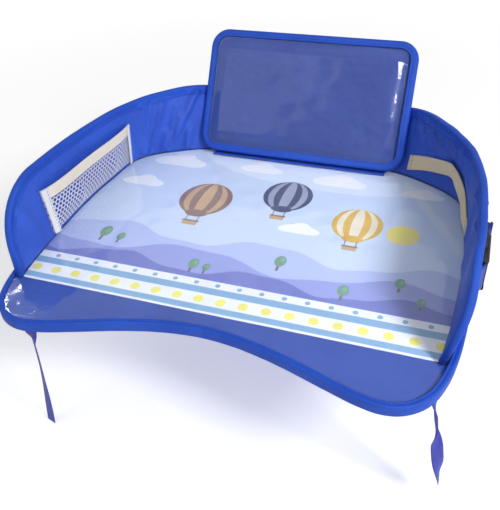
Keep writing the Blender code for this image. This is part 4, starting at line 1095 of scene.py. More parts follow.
def hill_rule(group, given, x, y):
    """One below a rolling line."""
    turn = calculate(group, "DIVIDE", plus(group, x, given["Shift"]), given["Length"])
    wave = calculate(group, "SINE", times(group, turn, 2 * math.pi))
    small = calculate(group, "SINE", times(group, turn, 5.3 * math.pi))
    line = plus(group, wave, times(group, small, 0.22))
    line = plus(group, given["Level"], times(group, line, given["Swing"]))
    return remap(group, minus(group, y, line), 0.4, -0.4, smooth=True)


def dot_rule(group, given, x, y):
    """One inside each dot of an even row."""
    turn = calculate(group, "DIVIDE", minus(group, x, given["First"]), given["Pitch"])
    share = calculate(group, "FRACT", plus(group, turn, 0.5))
    across = times(group, minus(group, share, 0.5), given["Pitch"])
    away = length_of(group, across, minus(group, y, given["Y"]))
    edge = plus(group, given["Radius"], 0.35)
    return remap(group, away, edge, given["Radius"], smooth=True)


# Each kind of mark: the names of its four numbers, its rule, and how soft its rim is
SHAPE_NUMBERS = ("X", "Y", "Half width", "Half height")
MARK_KINDS = {
    "oval": (SHAPE_NUMBERS, oval_rule, {"Soft": 0.4}),
    "box": (SHAPE_NUMBERS, box_rule, {"Soft": 0.35}),
    "hill": (("Level", "Swing", "Length", "Shift"), hill_rule, {}),
    "dots": (("Y", "First", "Pitch", "Radius"), dot_rule, {}),
}
mark_groups = {
    kind: mark_group(kind + " mark", (*numbers, *softness), rule)
    for kind, (numbers, rule, softness) in MARK_KINDS.items()
}
print("mark groups:", ", ".join(mark_groups))

# %% [markdown]
# The inks are pale and a little chalky, as on cheap card under film. The picture is a made-up
# landscape: three ranges of hills, three striped balloons with baskets, small trees, a sun and
# clouds. Places are in millimetres from the middle of the table.

# %% Inks
SKY = (0.47, 0.58, 0.80)
CLOUD = (0.72, 0.76, 0.86)
PALE_SKY = (0.56, 0.65, 0.84)
FAR_HILL = (0.36, 0.44, 0.74)
MIDDLE_HILL = (0.24, 0.29, 0.62)
NEAR_HILL = (0.13, 0.16, 0.47)
LEAF = (0.12, 0.27, 0.19)
LEAF_LIT = (0.17, 0.35, 0.24)
TRUNK = (0.14, 0.10, 0.10)
SUN = (0.75, 0.62, 0.22)
TEAL = (0.18, 0.34, 0.55)
WHITE_INK = (0.66, 0.70, 0.82)
DOT_YELLOW = (0.68, 0.67, 0.15)
TAN = (0.45, 0.30, 0.18)
BROWN = (0.20, 0.12, 0.11)
CHARCOAL = (0.05, 0.06, 0.14)
GREY = (0.28, 0.32, 0.45)
GOLD = (0.57, 0.37, 0.06)
CREAM = (0.66, 0.62, 0.52)


# %% Motifs
def balloon(x, y, half, inks):
    """A striped balloon: nested ovals as its gores, a skirt, ropes and a basket."""
    dark, light = inks
    marks = []
    for k, share in enumerate((1.0, 0.78, 0.52, 0.22)):
        ink = dark if k % 2 == 0 else light
        marks.append(("oval", x, y, half * share, half * 1.1, ink))
    marks.append(("oval", x, y - 1.0 * half, half * 0.42, half * 0.22, dark))
    for side in (-1, 1):
        marks.append(("box", x + side * half * 0.22, y - 1.33 * half, 0.35, half * 0.2, BROWN))
    marks.append(("box", x, y - 1.62 * half, half * 0.27, half * 0.13, TAN))
    marks.append(("box", x, y - 1.5 * half, half * 0.31, half * 0.04, BROWN))
    return marks


# Each puff of a cloud, as shares of its size: its place, half width and half height
PUFFS = (
    (0.0, 0.0, 1.0, 0.42), (-0.6, -0.12, 0.55, 0.3), (0.62, -0.1, 0.6, 0.32), (0.1, 0.28, 0.5, 0.36)
)


def cloud(x, y, size, ink):
    """A cloud of overlapping puffs."""
    return [
        ("oval", x + dx * size, y + dy * size, wide * size, tall * size, ink)
        for dx, dy, wide, tall in PUFFS
    ]


def small_tree(x, y, size):
    """A small round tree."""
    return [
        ("box", x, y - size * 0.7, size * 0.09, size * 0.45, TRUNK),
        ("oval", x, y, size * 0.42, size * 0.62, LEAF),
        ("oval", x + size * 0.12, y + size * 0.16, size * 0.17, size * 0.24, LEAF_LIT),
    ]


motifs = [("oval", 40.0, 150.0, 150.0, 60.0, PALE_SKY)]
motifs += cloud(-128, 112, 26, CLOUD) + cloud(-34, 118, 20, CLOUD) + cloud(54, 112, 24, CLOUD)
motifs += cloud(140, 108, 18, CLOUD) + cloud(-150, 62, 20, CLOUD) + cloud(36, 18, 17, CLOUD)
motifs += [("oval", 132.0, 34.0, 15.0, 15.0, SUN), ("oval", 132.0, 34.0, 11.0, 11.0, DOT_YELLOW)]
motifs += [("hill", -22.0, 9.0, 150.0, 20.0, FAR_HILL)]
motifs += balloon(-70, 45, 27, (BROWN, TAN)) + balloon(10, 72, 25, (CHARCOAL, GREY))
motifs += balloon(88, 40, 24, (GOLD, CREAM))
motifs += [("hill", -46.0, 10.0, 190.0, 95.0, MIDDLE_HILL)]
motifs += small_tree(-142, -34, 13) + small_tree(-124, -38, 9)
motifs += small_tree(34, -34, 12) + small_tree(140, -36, 10)
motifs += [("hill", -64.0, 7.0, 130.0, 12.0, NEAR_HILL)]
motifs += small_tree(-40, -58, 11) + small_tree(-27, -60, 8)
motifs += small_tree(96, -58, 11) + small_tree(160, -56, 8)
# The bands of the border, from the back to the front: where each one ends, and its ink
BORDER_BACK = -77.0
BORDER_BANDS = (
    (-86.0, WHITE_INK), (-94.0, TEAL), (-108.0, WHITE_INK), (-114.7, TEAL), (-119.0, WHITE_INK)
)
top = BORDER_BACK
for bottom, band_ink in BORDER_BANDS:
    motifs.append(("box", 0.0, (top + bottom) / 2, 220.0, (top - bottom) / 2, band_ink))
    top = bottom
motifs.append(("dots", -81.6, -165.9, 19.8, 2.1, TEAL))
motifs.append(("dots", -101.0, -156.0, 19.8, 4.25, DOT_YELLOW))
print("motifs on the sheet:", len(motifs))

# %% Print finish
print_finish, tree, shader, cloth_map = new_finish("printed_card", 0.5, Specular_IOR_Level=0.4)
ink = opaque(SKY)
for kind, *values, colour in motifs:
    numbers, _, softness = MARK_KINDS[kind]
    given_values = dict(zip(numbers, values))
    mask = use_group(tree, mark_groups[kind], map=cloth_map, **given_values, **softness)
    ink = mix_colours(tree, mask[0], ink, opaque(colour))
worn = use_group(tree, handling_group, map=cloth_map, patches=14.0, specks=2600.0)
ink = mix_colours(tree, times(tree, worn["Lint"], 0.12), ink, opaque(CLOUD))
ink = mix_colours(tree, times(tree, worn["Patch"], 0.07), ink, opaque(PALE_SKY))
paint(tree, shader, ink, remap(tree, worn["Patch"], 0.0, 1.0, 0.42, 0.58))
add_bump(tree, shader, worn["Rumple"], 0.0004)
print("print nodes:", len(tree.nodes))

# %% Printed sheet
PRINT_FRONT_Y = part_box("play_sheet")[0].y
PRINT_CENTRE = (0.0, 30.0 * MM)
FRONT_STEPS = 120
around = plan_at(plan_places, INNER_FACE_INSET)[0]
around = around[around[:, 1] > PRINT_FRONT_Y + GAP]
corner_x = plan_at(place_at_y(PRINT_FRONT_Y, True, INNER_FACE_INSET), INNER_FACE_INSET)[0][0]
front_line = [(x, PRINT_FRONT_Y) for x in np.linspace(-corner_x, corner_x, FRONT_STEPS)]
print_edge = np.concatenate([around, front_line])


def print_height(x, y):
    """Card under film: nearly flat, with slow waves."""
    return level("play_sheet") + PRINT_WAVE * cloth_noise(x, y, 11, longest=0.09, shortest=0.04)


printed_sheet = disc_mesh("printed_sheet", print_edge, PRINT_CENTRE, 40, print_height)
thicken(printed_sheet, PRINT_THICKNESS)
attach(printed_sheet, print_finish, "tray", ["play_sheet"])

# %% [markdown]
# ## The clear film
#
# The film is sewn in under the edge tape and under the wall, and bellies up between its seams.
# Its ripples are what show it is there at all: each one bends the lamp's reflection. They are
# modelled, from waves that only rise, so the film never dips into the print below.

# %% Clear film over the table
FILM_RIPPLE = 1.1 * MM
FILM_RIPPLE_ROOM = 0.1 * MM
FILM_PLAN_STEPS = 520
HEM_FRONT_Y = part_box("holder_hinge_strip")[0].y


def film_height(x, y):
    """The film's middle: rising ripples, held down by its seams, the wall and the hem."""
    edge = from_edge(x, y)
    by_wall = smooth_share(edge, INNER_FACE_INSET, INNER_FACE_INSET + 16 * MM)
    by_front = smooth_share(edge, 6.5 * MM, 18 * MM) * smooth_share(-y, 112 * MM, 122 * MM)
    free = np.maximum(by_wall, by_front) * smooth_share(HEM_FRONT_Y - y, 2 * MM, 14 * MM)
    wave = cloth_noise(x, y, 21, waves=18, longest=0.11, shortest=0.02)
    rise = np.clip(0.5 + 0.42 * wave, 0.0, 1.15) ** 1.5
    return level("clear_cover") + FILM_RIPPLE * rise * free


film_edge = plan_at(np.arange(FILM_PLAN_STEPS) / FILM_PLAN_STEPS, LAYER_INSET)[0]
table_cover = disc_mesh("clear_table_cover", film_edge, FLAT_CENTRE, 84, film_height)
thicken(table_cover, FILM_THICKNESS - FILM_RIPPLE_ROOM)
attach(table_cover, table_film, "tray", ["clear_cover"])

# %% [markdown]
# ## The edge tape
#
# A tape is folded over the raw edge of all the layers and sewn through. Its section is a flat U
# with a rounded turn. The stitching pulls it into a shallow groove and little puckers, so the
# section is bent by a wave along the edge before the sheet is made. One long loft keeps the
# tape's own map running along it, which a Boolean or a bevelled box wouldn't.

# %% Edge tape
EDGE_LAP = 5.4 * MM
EDGE_ROUND = 1.5 * MM
EDGE_STITCH_INSET = 3.9 * MM
EDGE_GROOVE = 0.45 * MM
EDGE_PUCKER_PITCH = 5.2 * MM
EDGE_PUCKER_ROOM = 0.35 * MM
EDGE_STATIONS = 660
tape_low, tape_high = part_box("edge_binding")
edge_top = tape_high.z - EDGE_TAPE / 2
edge_bottom = tape_low.z + EDGE_TAPE / 2
edge_side = EDGE_TAPE / 2


def edge_section():
    """The tape's section: how far in from the outline, and how high."""
    flat_insets = np.linspace(EDGE_LAP, edge_side + EDGE_ROUND, 9)
    points = [(inset, edge_top) for inset in flat_insets]
    for corner_z, turn in ((edge_top - EDGE_ROUND, 1), (edge_bottom + EDGE_ROUND, -1)):
        turns = np.linspace(90, 0, 6) if turn > 0 else np.linspace(0, 90, 6)
        for angle in np.radians(turns[1:] if turn > 0 else turns):
            inset = edge_side + EDGE_ROUND - EDGE_ROUND * math.cos(angle)
            points.append((inset, corner_z + turn * EDGE_ROUND * math.sin(angle)))
    points += [(inset, edge_bottom) for inset in flat_insets[-2::-1]]
    return np.array(points)


edge_places = np.arange(EDGE_STATIONS) / EDGE_STATIONS
edge_lengths = edge_places * outline_length


def seam_groove(off_seam, width):
    """How deep the stitching draws the tape in, as a share, at a distance from the seam."""
    return math.exp(-((off_seam / width) ** 2))


def edge_line(inset, z):
    """One line of the tape all round: puckered, and drawn in where the stitching runs."""
    pucker = 0.14 * MM * np.sin(edge_lengths / EDGE_PUCKER_PITCH * 2 * math.pi)
    uneven = cloth_noise(edge_lengths, inset * 4, 31, longest=0.03, shortest=0.007)
    pucker = np.clip(pucker + 0.16 * MM * uneven, -0.22 * MM, 0.16 * MM)
    flat_share = smooth_share(inset, edge_side + EDGE_ROUND * 0.5, edge_side + EDGE_ROUND * 1.5)
    groove = EDGE_GROOVE * seam_groove(inset - EDGE_STITCH_INSET, 0.6 * MM)
    upward = 1.0 if z > (edge_top + edge_bottom) / 2 else -1.0
    uneven = cloth_noise(edge_lengths, z * 3, 33, longest=0.04, shortest=0.012)
    belly = 0.16 * MM * (1 - flat_share) * uneven
    height = z + upward * (pucker - groove) * flat_share
    ring = plan_at(edge_places, inset + np.abs(belly))[0]
    return np.concatenate([ring, height[:, None]], axis=1)


edge_rows = [edge_line(inset, z) for inset, z in edge_section()]
edge_tape = sheet_mesh("edge_tape", np.stack(edge_rows, axis=1), closed=True)
thicken(edge_tape, EDGE_TAPE - EDGE_PUCKER_ROOM)
attach(edge_tape, tape_cloth, "tray", ["edge_binding"])

for name, z, way in (("edge_stitches_top", edge_top, 1), ("edge_stitches_bottom", edge_bottom, -1)):
    seam = edge_line(EDGE_STITCH_INSET, z) + (0, 0, way * (EDGE_TAPE / 2 - 0.2 * MM))
    stitch_run(name, seam, (0, 0, way), closed=True)

# %% [markdown]
# ## The wall's cloth
#
# The wall is a strip of foam between two cloths. Where it bends round the back corners the inner
# cloth has too much length, and lies in folds that run down from the rim like a fan. A cloth
# simulation would put folds somewhere, but these are placed where the photograph shows them: each
# is a ridge along a line on the wall, and some carry a crease along their crest. Ridges only rise
# towards the free side, so the cloth can't sink into the foam behind it.

# %% Folds of the wall
FOLD_CEILING = 7.5 * MM
FOLD_GAIN = 3.2
BAND_CEILING = 2.0 * MM
# Where the holder, the cup band and the pocket hold the cloth flat: over which distances along
# the wall their hold grows, and over which it ends
BEHIND_HOLDER = (306 * MM, 318 * MM, 544 * MM, 556 * MM)
UNDER_BAND = (150 * MM, 164 * MM, 304 * MM, 318 * MM)
BEHIND_POCKET = (636 * MM, 650 * MM, 803 * MM, 815 * MM)
BAND_SEAMS = (313 * MM, 155 * MM)
BAND_SEAM_REACH = 9 * MM
# Each fold: where it starts and ends along the wall in millimetres, the shares of the wall's
# height there, how high it stands, how wide it is, and whether its crest is creased
INNER_FOLDS = (
    (602, 0.85, 626, 0.02, 2.6, 8.0, True), (579, 0.78, 587, 0.35, 1.9, 5.0, True),
    (556, 0.98, 577, 0.5, 2.4, 4.5, False), (577, 0.52, 584, 0.25, 2.1, 4.5, False),
    (544, 0.9, 549, 0.2, 1.0, 3.5, True), (540, 0.92, 542, 0.2, 0.9, 3.0, False),
    (622, 0.99, 633, 0.1, 1.8, 7.0, False), (595, 0.3, 600, 0.05, 1.5, 5.0, False),
    (568, 0.3, 571, 0.06, 1.4, 4.5, False), (639, 0.8, 641, 0.2, 1.1, 6.0, False),
    (309, 0.98, 296, 0.6, 1.2, 4.0, True), (294, 0.92, 281, 0.58, 2.2, 5.0, True),
    (272, 0.85, 254, 0.48, 2.4, 5.5, True), (253, 0.82, 228, 0.58, 2.2, 5.5, False),
    (236, 0.95, 216, 0.62, 1.5, 5.0, True), (283, 0.9, 270, 0.6, 1.3, 3.5, False),
    (205, 0.9, 190, 0.55, 1.1, 7.0, False), (130, 0.92, 122, 0.3, 1.2, 9.0, False),
    (86, 0.88, 92, 0.2, 1.0, 8.0, False), (836, 0.8, 824, 0.2, 0.9, 6.0, False),
)
OUTER_FOLDS = (
    (600, 0.98, 586, 0.62, 1.5, 6.0, True), (560, 0.97, 572, 0.6, 1.3, 6.0, False),
    (628, 0.96, 622, 0.6, 1.1, 7.0, False), (262, 0.98, 276, 0.6, 1.5, 6.0, True),
    (296, 0.97, 288, 0.62, 1.2, 6.0, False), (232, 0.96, 238, 0.6, 1.1, 7.0, False),
    (400, 0.95, 408, 0.62, 0.9, 9.0, False), (470, 0.95, 464, 0.62, 0.8, 9.0, False),
    (120, 0.95, 126, 0.66, 0.9, 8.0, False), (744, 0.95, 738, 0.66, 0.9, 8.0, False),
)


def fold_lift(distance, share_up, folds):
    """How far the folds stand off the flat cloth, for points along and up the wall."""
    total = np.zeros(np.broadcast(distance, share_up).shape)
    for start, start_up, end, end_up, high, wide, creased in folds:
        low_up, high_up = min(start_up, end_up), max(start_up, end_up)
        progress = np.clip((share_up - start_up) / (end_up - start_up), -0.2, 1.2)
        off = (distance - (start + (end - start) * progress) * MM) / (wide * MM)
        ridge = np.exp(-(off**2))
        if creased:
            ridge = ridge * (1 - 0.75 * np.exp(-((off / 0.24) ** 2)))
        fade = within(share_up, (low_up - 0.14, low_up + 0.1, high_up, high_up + 0.16))
        total = total + FOLD_GAIN * high * MM * ridge * fade
    return total


def wall_slack(distance, share_up, seed):
    """The slack of the wall's cloth, between 0 and 1."""
    return slack_noise(distance, share_up * WALL_HEIGHT, seed, longest=0.06)


def free_of_ends(distance):
    """Cloth is sewn flat at the wall's two ends, and free a little way in."""
    return smooth_share(from_ends(distance), 4 * MM, 26 * MM)


def inner_lift(distance, share_up):
    """How far the wall's inner cloth stands off its foam."""
    lift = fold_lift(distance, share_up, INNER_FOLDS)
    lift = lift + 0.55 * MM * wall_slack(distance, share_up, 41)
    behind = 0.82 * within(distance, BEHIND_HOLDER) * (share_up > 0.0)
    pocket = 0.93 * within(distance, BEHIND_POCKET)
    seams = [np.exp(-(((distance - seam) / BAND_SEAM_REACH) ** 2)) for seam in BAND_SEAMS]
    strap_ends = (seams[0] + seams[1]) * (1 - smooth_share(share_up, 0.5, 0.66))
    held = np.clip(np.maximum(behind, np.maximum(pocket, strap_ends)), 0, 1)
    banded = within(distance, UNDER_BAND) * (1 - smooth_share(share_up, 0.62, 0.8))
    ceiling = FOLD_CEILING + (BAND_CEILING - FOLD_CEILING) * banded
    sewn_rows = within(share_up, (0.0, 0.1, 0.92, 1.0))
    return np.minimum(lift, ceiling) * (1 - held) * sewn_rows * free_of_ends(distance)


def outer_lift(distance, share_up):
    """How far the wall's outer cloth stands off its foam: hardly at all under the seat strap."""
    lift = fold_lift(distance, share_up, OUTER_FOLDS)
    above_strap = smooth_share(share_up, 0.55, 0.68)
    slack = 0.5 * MM * wall_slack(distance, share_up, 43) * (0.12 + 0.88 * above_strap)
    sewn_rows = within(share_up, (0.0, 0.08, 0.9, 1.0))
    return (lift * above_strap + slack) * sewn_rows * free_of_ends(distance)


# %% Wall cloths and foam
WALL_ROWS_UP = 30
WALL_FOAM_ROUND = 0.7 * MM
columns = wall_columns(20, 1.9 * MM)


def wall_sheet(name, depth, thickness, lift, side, reach=1.0):
    """One layer of the wall: lifted by its folds, pinched towards the middle under the rim tape."""
    short = short_of_full(from_ends(columns))
    kept = short < reach - 0.03 * (reach < 1)
    distance, up = np.meshgrid(columns[kept], np.linspace(0, 1, WALL_ROWS_UP + 1), indexing="ij")
    short = short[kept][:, None]
    share_up = up * np.sqrt((reach**2 - short**2) / (1 - short**2))
    rim_share = np.hypot(short, share_up * np.sqrt(1 - short**2))
    stand = side * lift(distance, share_up) if lift else np.zeros_like(distance)
    pinch = PINCH * smooth_share(rim_share, PINCH_FROM, 0.88) * (reach == 1.0)
    depth = depth + stand - side * pinch
    places = place_on_wall(distance)
    return sheet_mesh(name, wall_point(places, from_ends(distance), share_up, depth, thickness))


wall_lining = wall_sheet("wall_lining", INNER_DEPTH, WALL_CLOTH, inner_lift, 1.0)
thicken(wall_lining, WALL_CLOTH)
attach(wall_lining, oxford, "tray", ["wall_inner"])

wall_cover = wall_sheet("wall_cover", OUTER_DEPTH, WALL_CLOTH, outer_lift, -1.0)
thicken(wall_cover, WALL_CLOTH)
attach(wall_cover, oxford, "tray", ["wall_outer"])

wall_foam = wall_sheet("wall_foam", FOAM_DEPTH, WALL_FOAM, None, 0.0, reach=PINCH_FROM)
thicken(wall_foam, WALL_FOAM)
round_edges(wall_foam, WALL_FOAM_ROUND, 2)
attach(wall_foam, foam_cells, "tray", ["wall_stiffener"])

# %% [markdown]
# ## The rim tape
#
# The same kind of tape closes the wall's top edge and runs down its two front ends. Because the
# wall bends and leans at the same time, the tape is built station by station: the middle of the
# wall's top, the way out over it, and the way across it. Where the lining stands in a fold, the
# tape's inner lap is lifted with it, since it is sewn to that cloth.

# %% Rim tape
RIM_HALF = WALL_THICKNESS / 2 - PINCH + GAP + RIM_THICKNESS / 2
RIM_STITCH = 1.9 * MM
RIM_PUFF = 0.8 * MM
RIM_GROOVE = 0.55 * MM
RIM_PUCKER_ROOM = 0.2 * MM
rim_columns = wall_columns(20, 1.7 * MM)
rim_columns = np.concatenate([[-WALL_START], rim_columns, [wall_length + WALL_START]])
rim_places = place_on_wall(rim_columns)
rim_tops = wall_top(rim_places, np.clip(from_ends(rim_columns), 0.0, None))


def in_wall(places, run, share_deep):
    """Points in the wall, some share of the way from its outer to its inner face."""
    return outer_face(places, run) - wall_normal(places, run) * (WALL_THICKNESS * share_deep)


rim_path = in_wall(rim_places, rim_tops, 0.5)
rim_normals = wall_normal(rim_places, rim_tops)
ahead = np.concatenate([rim_path[1:], rim_path[-1:]])
back = np.concatenate([rim_path[:1], rim_path[:-1]])
rim_along = unit(ahead - back)
rim_along[0] = (0, 0, 1)
rim_along[-1] = (0, 0, -1)
rim_outward = unit(np.cross(rim_normals, rim_along))


def over_rim(across, out, lift=0.0):
    """Points by the rim: inwards from the wall's middle, and out over its edge."""
    if out > 0:
        return rim_path - rim_normals * np.asarray(across + lift)[..., None] + rim_outward * out
    step = WALL_START / outline_length
    here = outer_face(rim_places, rim_tops)
    a = (outer_face(rim_places + step, rim_tops) - here) / WALL_START
    b = (outer_face(rim_places, rim_tops + WALL_START) - here) / WALL_START
    aim = rim_outward * out
    aa, ab, bb = (a * a).sum(-1), (a * b).sum(-1), (b * b).sum(-1)
    ta, tb = (a * aim).sum(-1), (b * aim).sum(-1)
    whole = aa * bb - ab * ab
    move_along, move_up = (ta * bb - tb * ab) / whole, (tb * aa - ta * ab) / whole
    places = rim_places + move_along / outline_length
    tops = rim_tops + move_up
    distance = distance_on_wall(places)
    share_up = np.clip(tops / np.maximum(rim_tops, 1 * MM), 0, 1)
    if across > 0:
        lift = lift + inner_lift(distance, share_up)
    else:
        lift = lift - outer_lift(distance, share_up)
    inwards = wall_normal(places, tops) * np.asarray(across + lift)[..., None]
    return in_wall(places, tops, 0.5) - inwards


def rim_section():
    """The tape's section: across the wall, and out over its edge."""
    laps = np.linspace(-RIM_LAP, 0.0, 11)
    halves = RIM_HALF + RIM_PUFF * smooth_share(laps, RIM_STITCH + 0.4 * MM - RIM_LAP, -0.5 * MM)
    points = [(-across, out) for across, out in zip(halves, laps)]
    for angle in np.radians(np.linspace(0, 180, 11)[1:-1]):
        points.append((-halves[-1] * math.cos(angle), 0.85 * RIM_HALF * math.sin(angle)))
    points += [(across, out) for across, out in zip(halves[::-1], laps[::-1])]
    return points


rim_rows = []
for across, out in rim_section():
    uneven = cloth_noise(rim_columns, out * 3, 51, longest=0.03, shortest=0.006)
    pucker = 0.1 * MM * uneven
    if out <= 0:
        groove = RIM_GROOVE * seam_groove(out + RIM_LAP - RIM_STITCH, 0.7 * MM)
        change = (np.clip(pucker, -0.14 * MM, 0.08 * MM) - groove) * math.copysign(1.0, across)
    else:
        change = pucker * across / RIM_HALF
    rim_rows.append(over_rim(across, out + GAP + RIM_THICKNESS / 2, change))
rim_tape = sheet_mesh("rim_tape", np.stack(rim_rows, axis=1))
thicken(rim_tape, RIM_THICKNESS - RIM_PUCKER_ROOM)
attach(rim_tape, tape_cloth, "tray", ["rim_binding"])

for name, way in (("rim_stitches_inner", 1), ("rim_stitches_outer", -1)):
    proud = way * (RIM_THICKNESS / 2 - RIM_PUCKER_ROOM / 2 - RIM_GROOVE)
    seam = over_rim(way * RIM_HALF, RIM_STITCH - RIM_LAP + GAP + RIM_THICKNESS / 2, proud)
    stitch_run(name, seam[2:-2], -way * rim_normals[2:-2])

# %% [markdown]
# ## The net pocket
#
# The pocket on the left wall is warp-knitted net: hexagonal eyes with thick soft strands. It is
# modelled eye by eye, so light and shadow fall through it. Each eye is a hexagon with a smaller
# one cut out of its middle, neighbours share their corners, and a subdivision makes the eyes
# round. Two pleats take up the slack that lets the pocket swell, so the eyes crowd together
# there.

# %% Sizes of the pocket
POCKET_FRONT_Y = -57.0 * MM
POCKET_REAR_Y = 91.0 * MM
POCKET_HEIGHT = 47.0 * MM
POCKET_FOOT = 3.0 * MM
POCKET_BULGE = 7.5 * MM
NET_THICKNESS = 0.4 * MM
NET_EYES_ALONG = 31
NET_EYE_ROWS = 10
NET_OPEN_SHARE = 0.78
ELASTIC_WIDTH = 12.0 * MM
ELASTIC_THICKNESS = 1.0 * MM
POCKET_TAPE_WIDTH = 7.0 * MM
POCKET_TAPE_THICKNESS = 0.6 * MM
POCKET_CLEAR = 2 * GAP + 0.3 * MM
TRIM_CLEAR = ELASTIC_THICKNESS + GAP + 0.35 * MM
net_top_share = 1 - ELASTIC_WIDTH / POCKET_HEIGHT
pocket_first = place_at_y(POCKET_FRONT_Y, False, INNER_FACE_INSET)
pocket_last = place_at_y(POCKET_REAR_Y, False, INNER_FACE_INSET)
# Each pleat: where along the pocket, how wide as a share of it, and how high it stands
PLEATS = ((0.34, 0.05, 2.2 * MM), (0.76, 0.045, 1.9 * MM))


def off_lining(places, height, stand, above_foot=True):
    """Points off the wall's inner face, at a height over its foot or in the frame."""
    far = np.full(np.shape(places), BASE_DEPTH)
    foot = wall_point(places, far, 0.0, WALL_THICKNESS + stand)
    top = wall_point(places, far, 1.0, WALL_THICKNESS + stand)
    climb = (top - foot) / (top[..., 2:] - foot[..., 2:])
    rise = np.asarray(height) if above_foot else np.asarray(height) - foot[..., 2]
    return foot + climb * rise[..., None]


def pocket_stand(along_share, up_share):
    """How far the pocket stands off the lining, held in at its sides and foot."""
    sides = 1 - np.abs(2 * along_share - 1) ** 4
    rise = np.sin(math.pi / 2 * np.clip(up_share / 0.45, 0, 1))
    stand = POCKET_CLEAR + POCKET_BULGE * sides * rise
    slack = rise * (1 - smooth_share(up_share, 0.5, 0.76))
    for centre, width, high in PLEATS:
        stand = stand + high * np.exp(-(((along_share - centre) / width) ** 2)) * slack
    return stand


def pocket_points(along_share, up_share, extra=0.0):
    """Points of the pocket's cloth, crowded together at its pleats."""
    crowded = along_share
    for centre, width, _ in PLEATS:
        off = (along_share - centre) / width
        crowded = crowded - 0.45 * width * off * np.exp(-(off**2))
    places = pocket_first + (pocket_last - pocket_first) * crowded
    stand = pocket_stand(along_share, up_share) + extra
    return off_lining(places, POCKET_FOOT + POCKET_HEIGHT * up_share, stand)


# %% Net
def net_mesh():
    """The net's eyes as rings of quads between a hexagon and its opening."""
    corners, faces, keys = [], [], {}
    eye_wide = 1.0 / NET_EYES_ALONG
    eye_tall = net_top_share / NET_EYE_ROWS

    def corner(a, b):
        key = (round(a * 1e5), round(b * 1e5))
        if key not in keys:
            keys[key] = len(corners)
            corners.append((min(max(a, 0.0), 1.0), min(max(b, 0.0), net_top_share)))
        return keys[key]

    for row in range(NET_EYE_ROWS + 1):
        for column in range(NET_EYES_ALONG + 1):
            a = (column + 0.5 * (row % 2)) * eye_wide
            b = row * eye_tall
            if a > 1.0:
                continue
            ring, opening = [], []
            for k in range(6):
                angle = math.pi / 2 + k * math.pi / 3
                da = math.cos(angle) * eye_wide / math.sqrt(3)
                db = math.sin(angle) * eye_tall * 2 / 3
                ring.append(corner(a + da, b + db))
                opening.append(corner(a + da * NET_OPEN_SHARE, b + db * NET_OPEN_SHARE))
            for k in range(6):
                m = (k + 1) % 6
                quad = (ring[k], ring[m], opening[m], opening[k])
                if len({corners[spot] for spot in quad}) == 4:
                    faces.append(quad)
    return np.array(corners), np.array(faces)


shares, net_faces = net_mesh()
used = np.unique(net_faces)
renumber = np.zeros(len(shares), dtype=int)
renumber[used] = np.arange(len(used))
shares, net_faces = shares[used], renumber[net_faces]
net_points = pocket_points(shares[:, 0], shares[:, 1])
pocket_run = POCKET_REAR_Y - POCKET_FRONT_Y
net_maps = (shares * (pocket_run, POCKET_HEIGHT))[net_faces]
pocket_net = make_mesh("pocket_net_eyes", net_points, net_faces.tolist(), net_maps)
thicken(pocket_net, NET_THICKNESS, rounded=True)

NET_WHITE, NET_SHADE = (0.95, 0.95, 0.98), (0.80, 0.81, 0.88)
net_thread, tree, shader, cloth_map = new_finish(
    "white_net_thread", 0.6, Sheen_Weight=0.25, Sheen_Roughness=0.5
)
knit = use_group(tree, weave_group, map=cloth_map, threads=3400.0, unevenness=0.6)
worn = use_group(tree, handling_group, map=cloth_map, patches=60.0, specks=2200.0)
tone = plus(tree, times(tree, knit["Tone"], 0.6), times(tree, worn["Patch"], 0.4))
base = mix_colours(tree, tone, opaque(NET_SHADE), opaque(NET_WHITE))
paint(tree, shader, base, remap(tree, worn["Patch"], 0.0, 1.0, 0.7, 0.5))
add_bump(tree, shader, knit["Height"], 0.00015, 0.7)
attach(pocket_net, net_thread, "tray", ["pocket_net"])

# %% [markdown]
# The net hangs from a cream elastic and is held at its sides by two short tapes, which are sewn
# over its cut edges. The elastic is slightly wavy, because it is sewn on stretched and then
# draws the net in.

# %% Elastic and side tapes of the pocket
ELASTIC_COLUMNS = 150
RUFFLE_PITCH = 5.5 * MM
RUFFLE_ROOM = 0.1 * MM
band_low = net_top_share + 0.012
along_pocket, up_band = np.meshgrid(
    np.linspace(0, 1, ELASTIC_COLUMNS + 1), np.linspace(band_low, 1.0, 9), indexing="ij"
)
ruffle = 0.12 * MM * np.sin(along_pocket * pocket_run / RUFFLE_PITCH * 2 * math.pi)
ruffle = ruffle * (0.4 + 0.6 * (up_band - net_top_share) / (1 - net_top_share))
ruffle = ruffle * smooth_share(np.minimum(along_pocket, 1 - along_pocket), 0.0, 0.08)
band_points = pocket_points(along_pocket, up_band, 0.2 * MM + ruffle)
pocket_band = sheet_mesh("pocket_elastic_band", band_points)
thicken(pocket_band, ELASTIC_THICKNESS - RUFFLE_ROOM)
attach(pocket_band, pocket_elastic, "tray", ["pocket_elastic"])

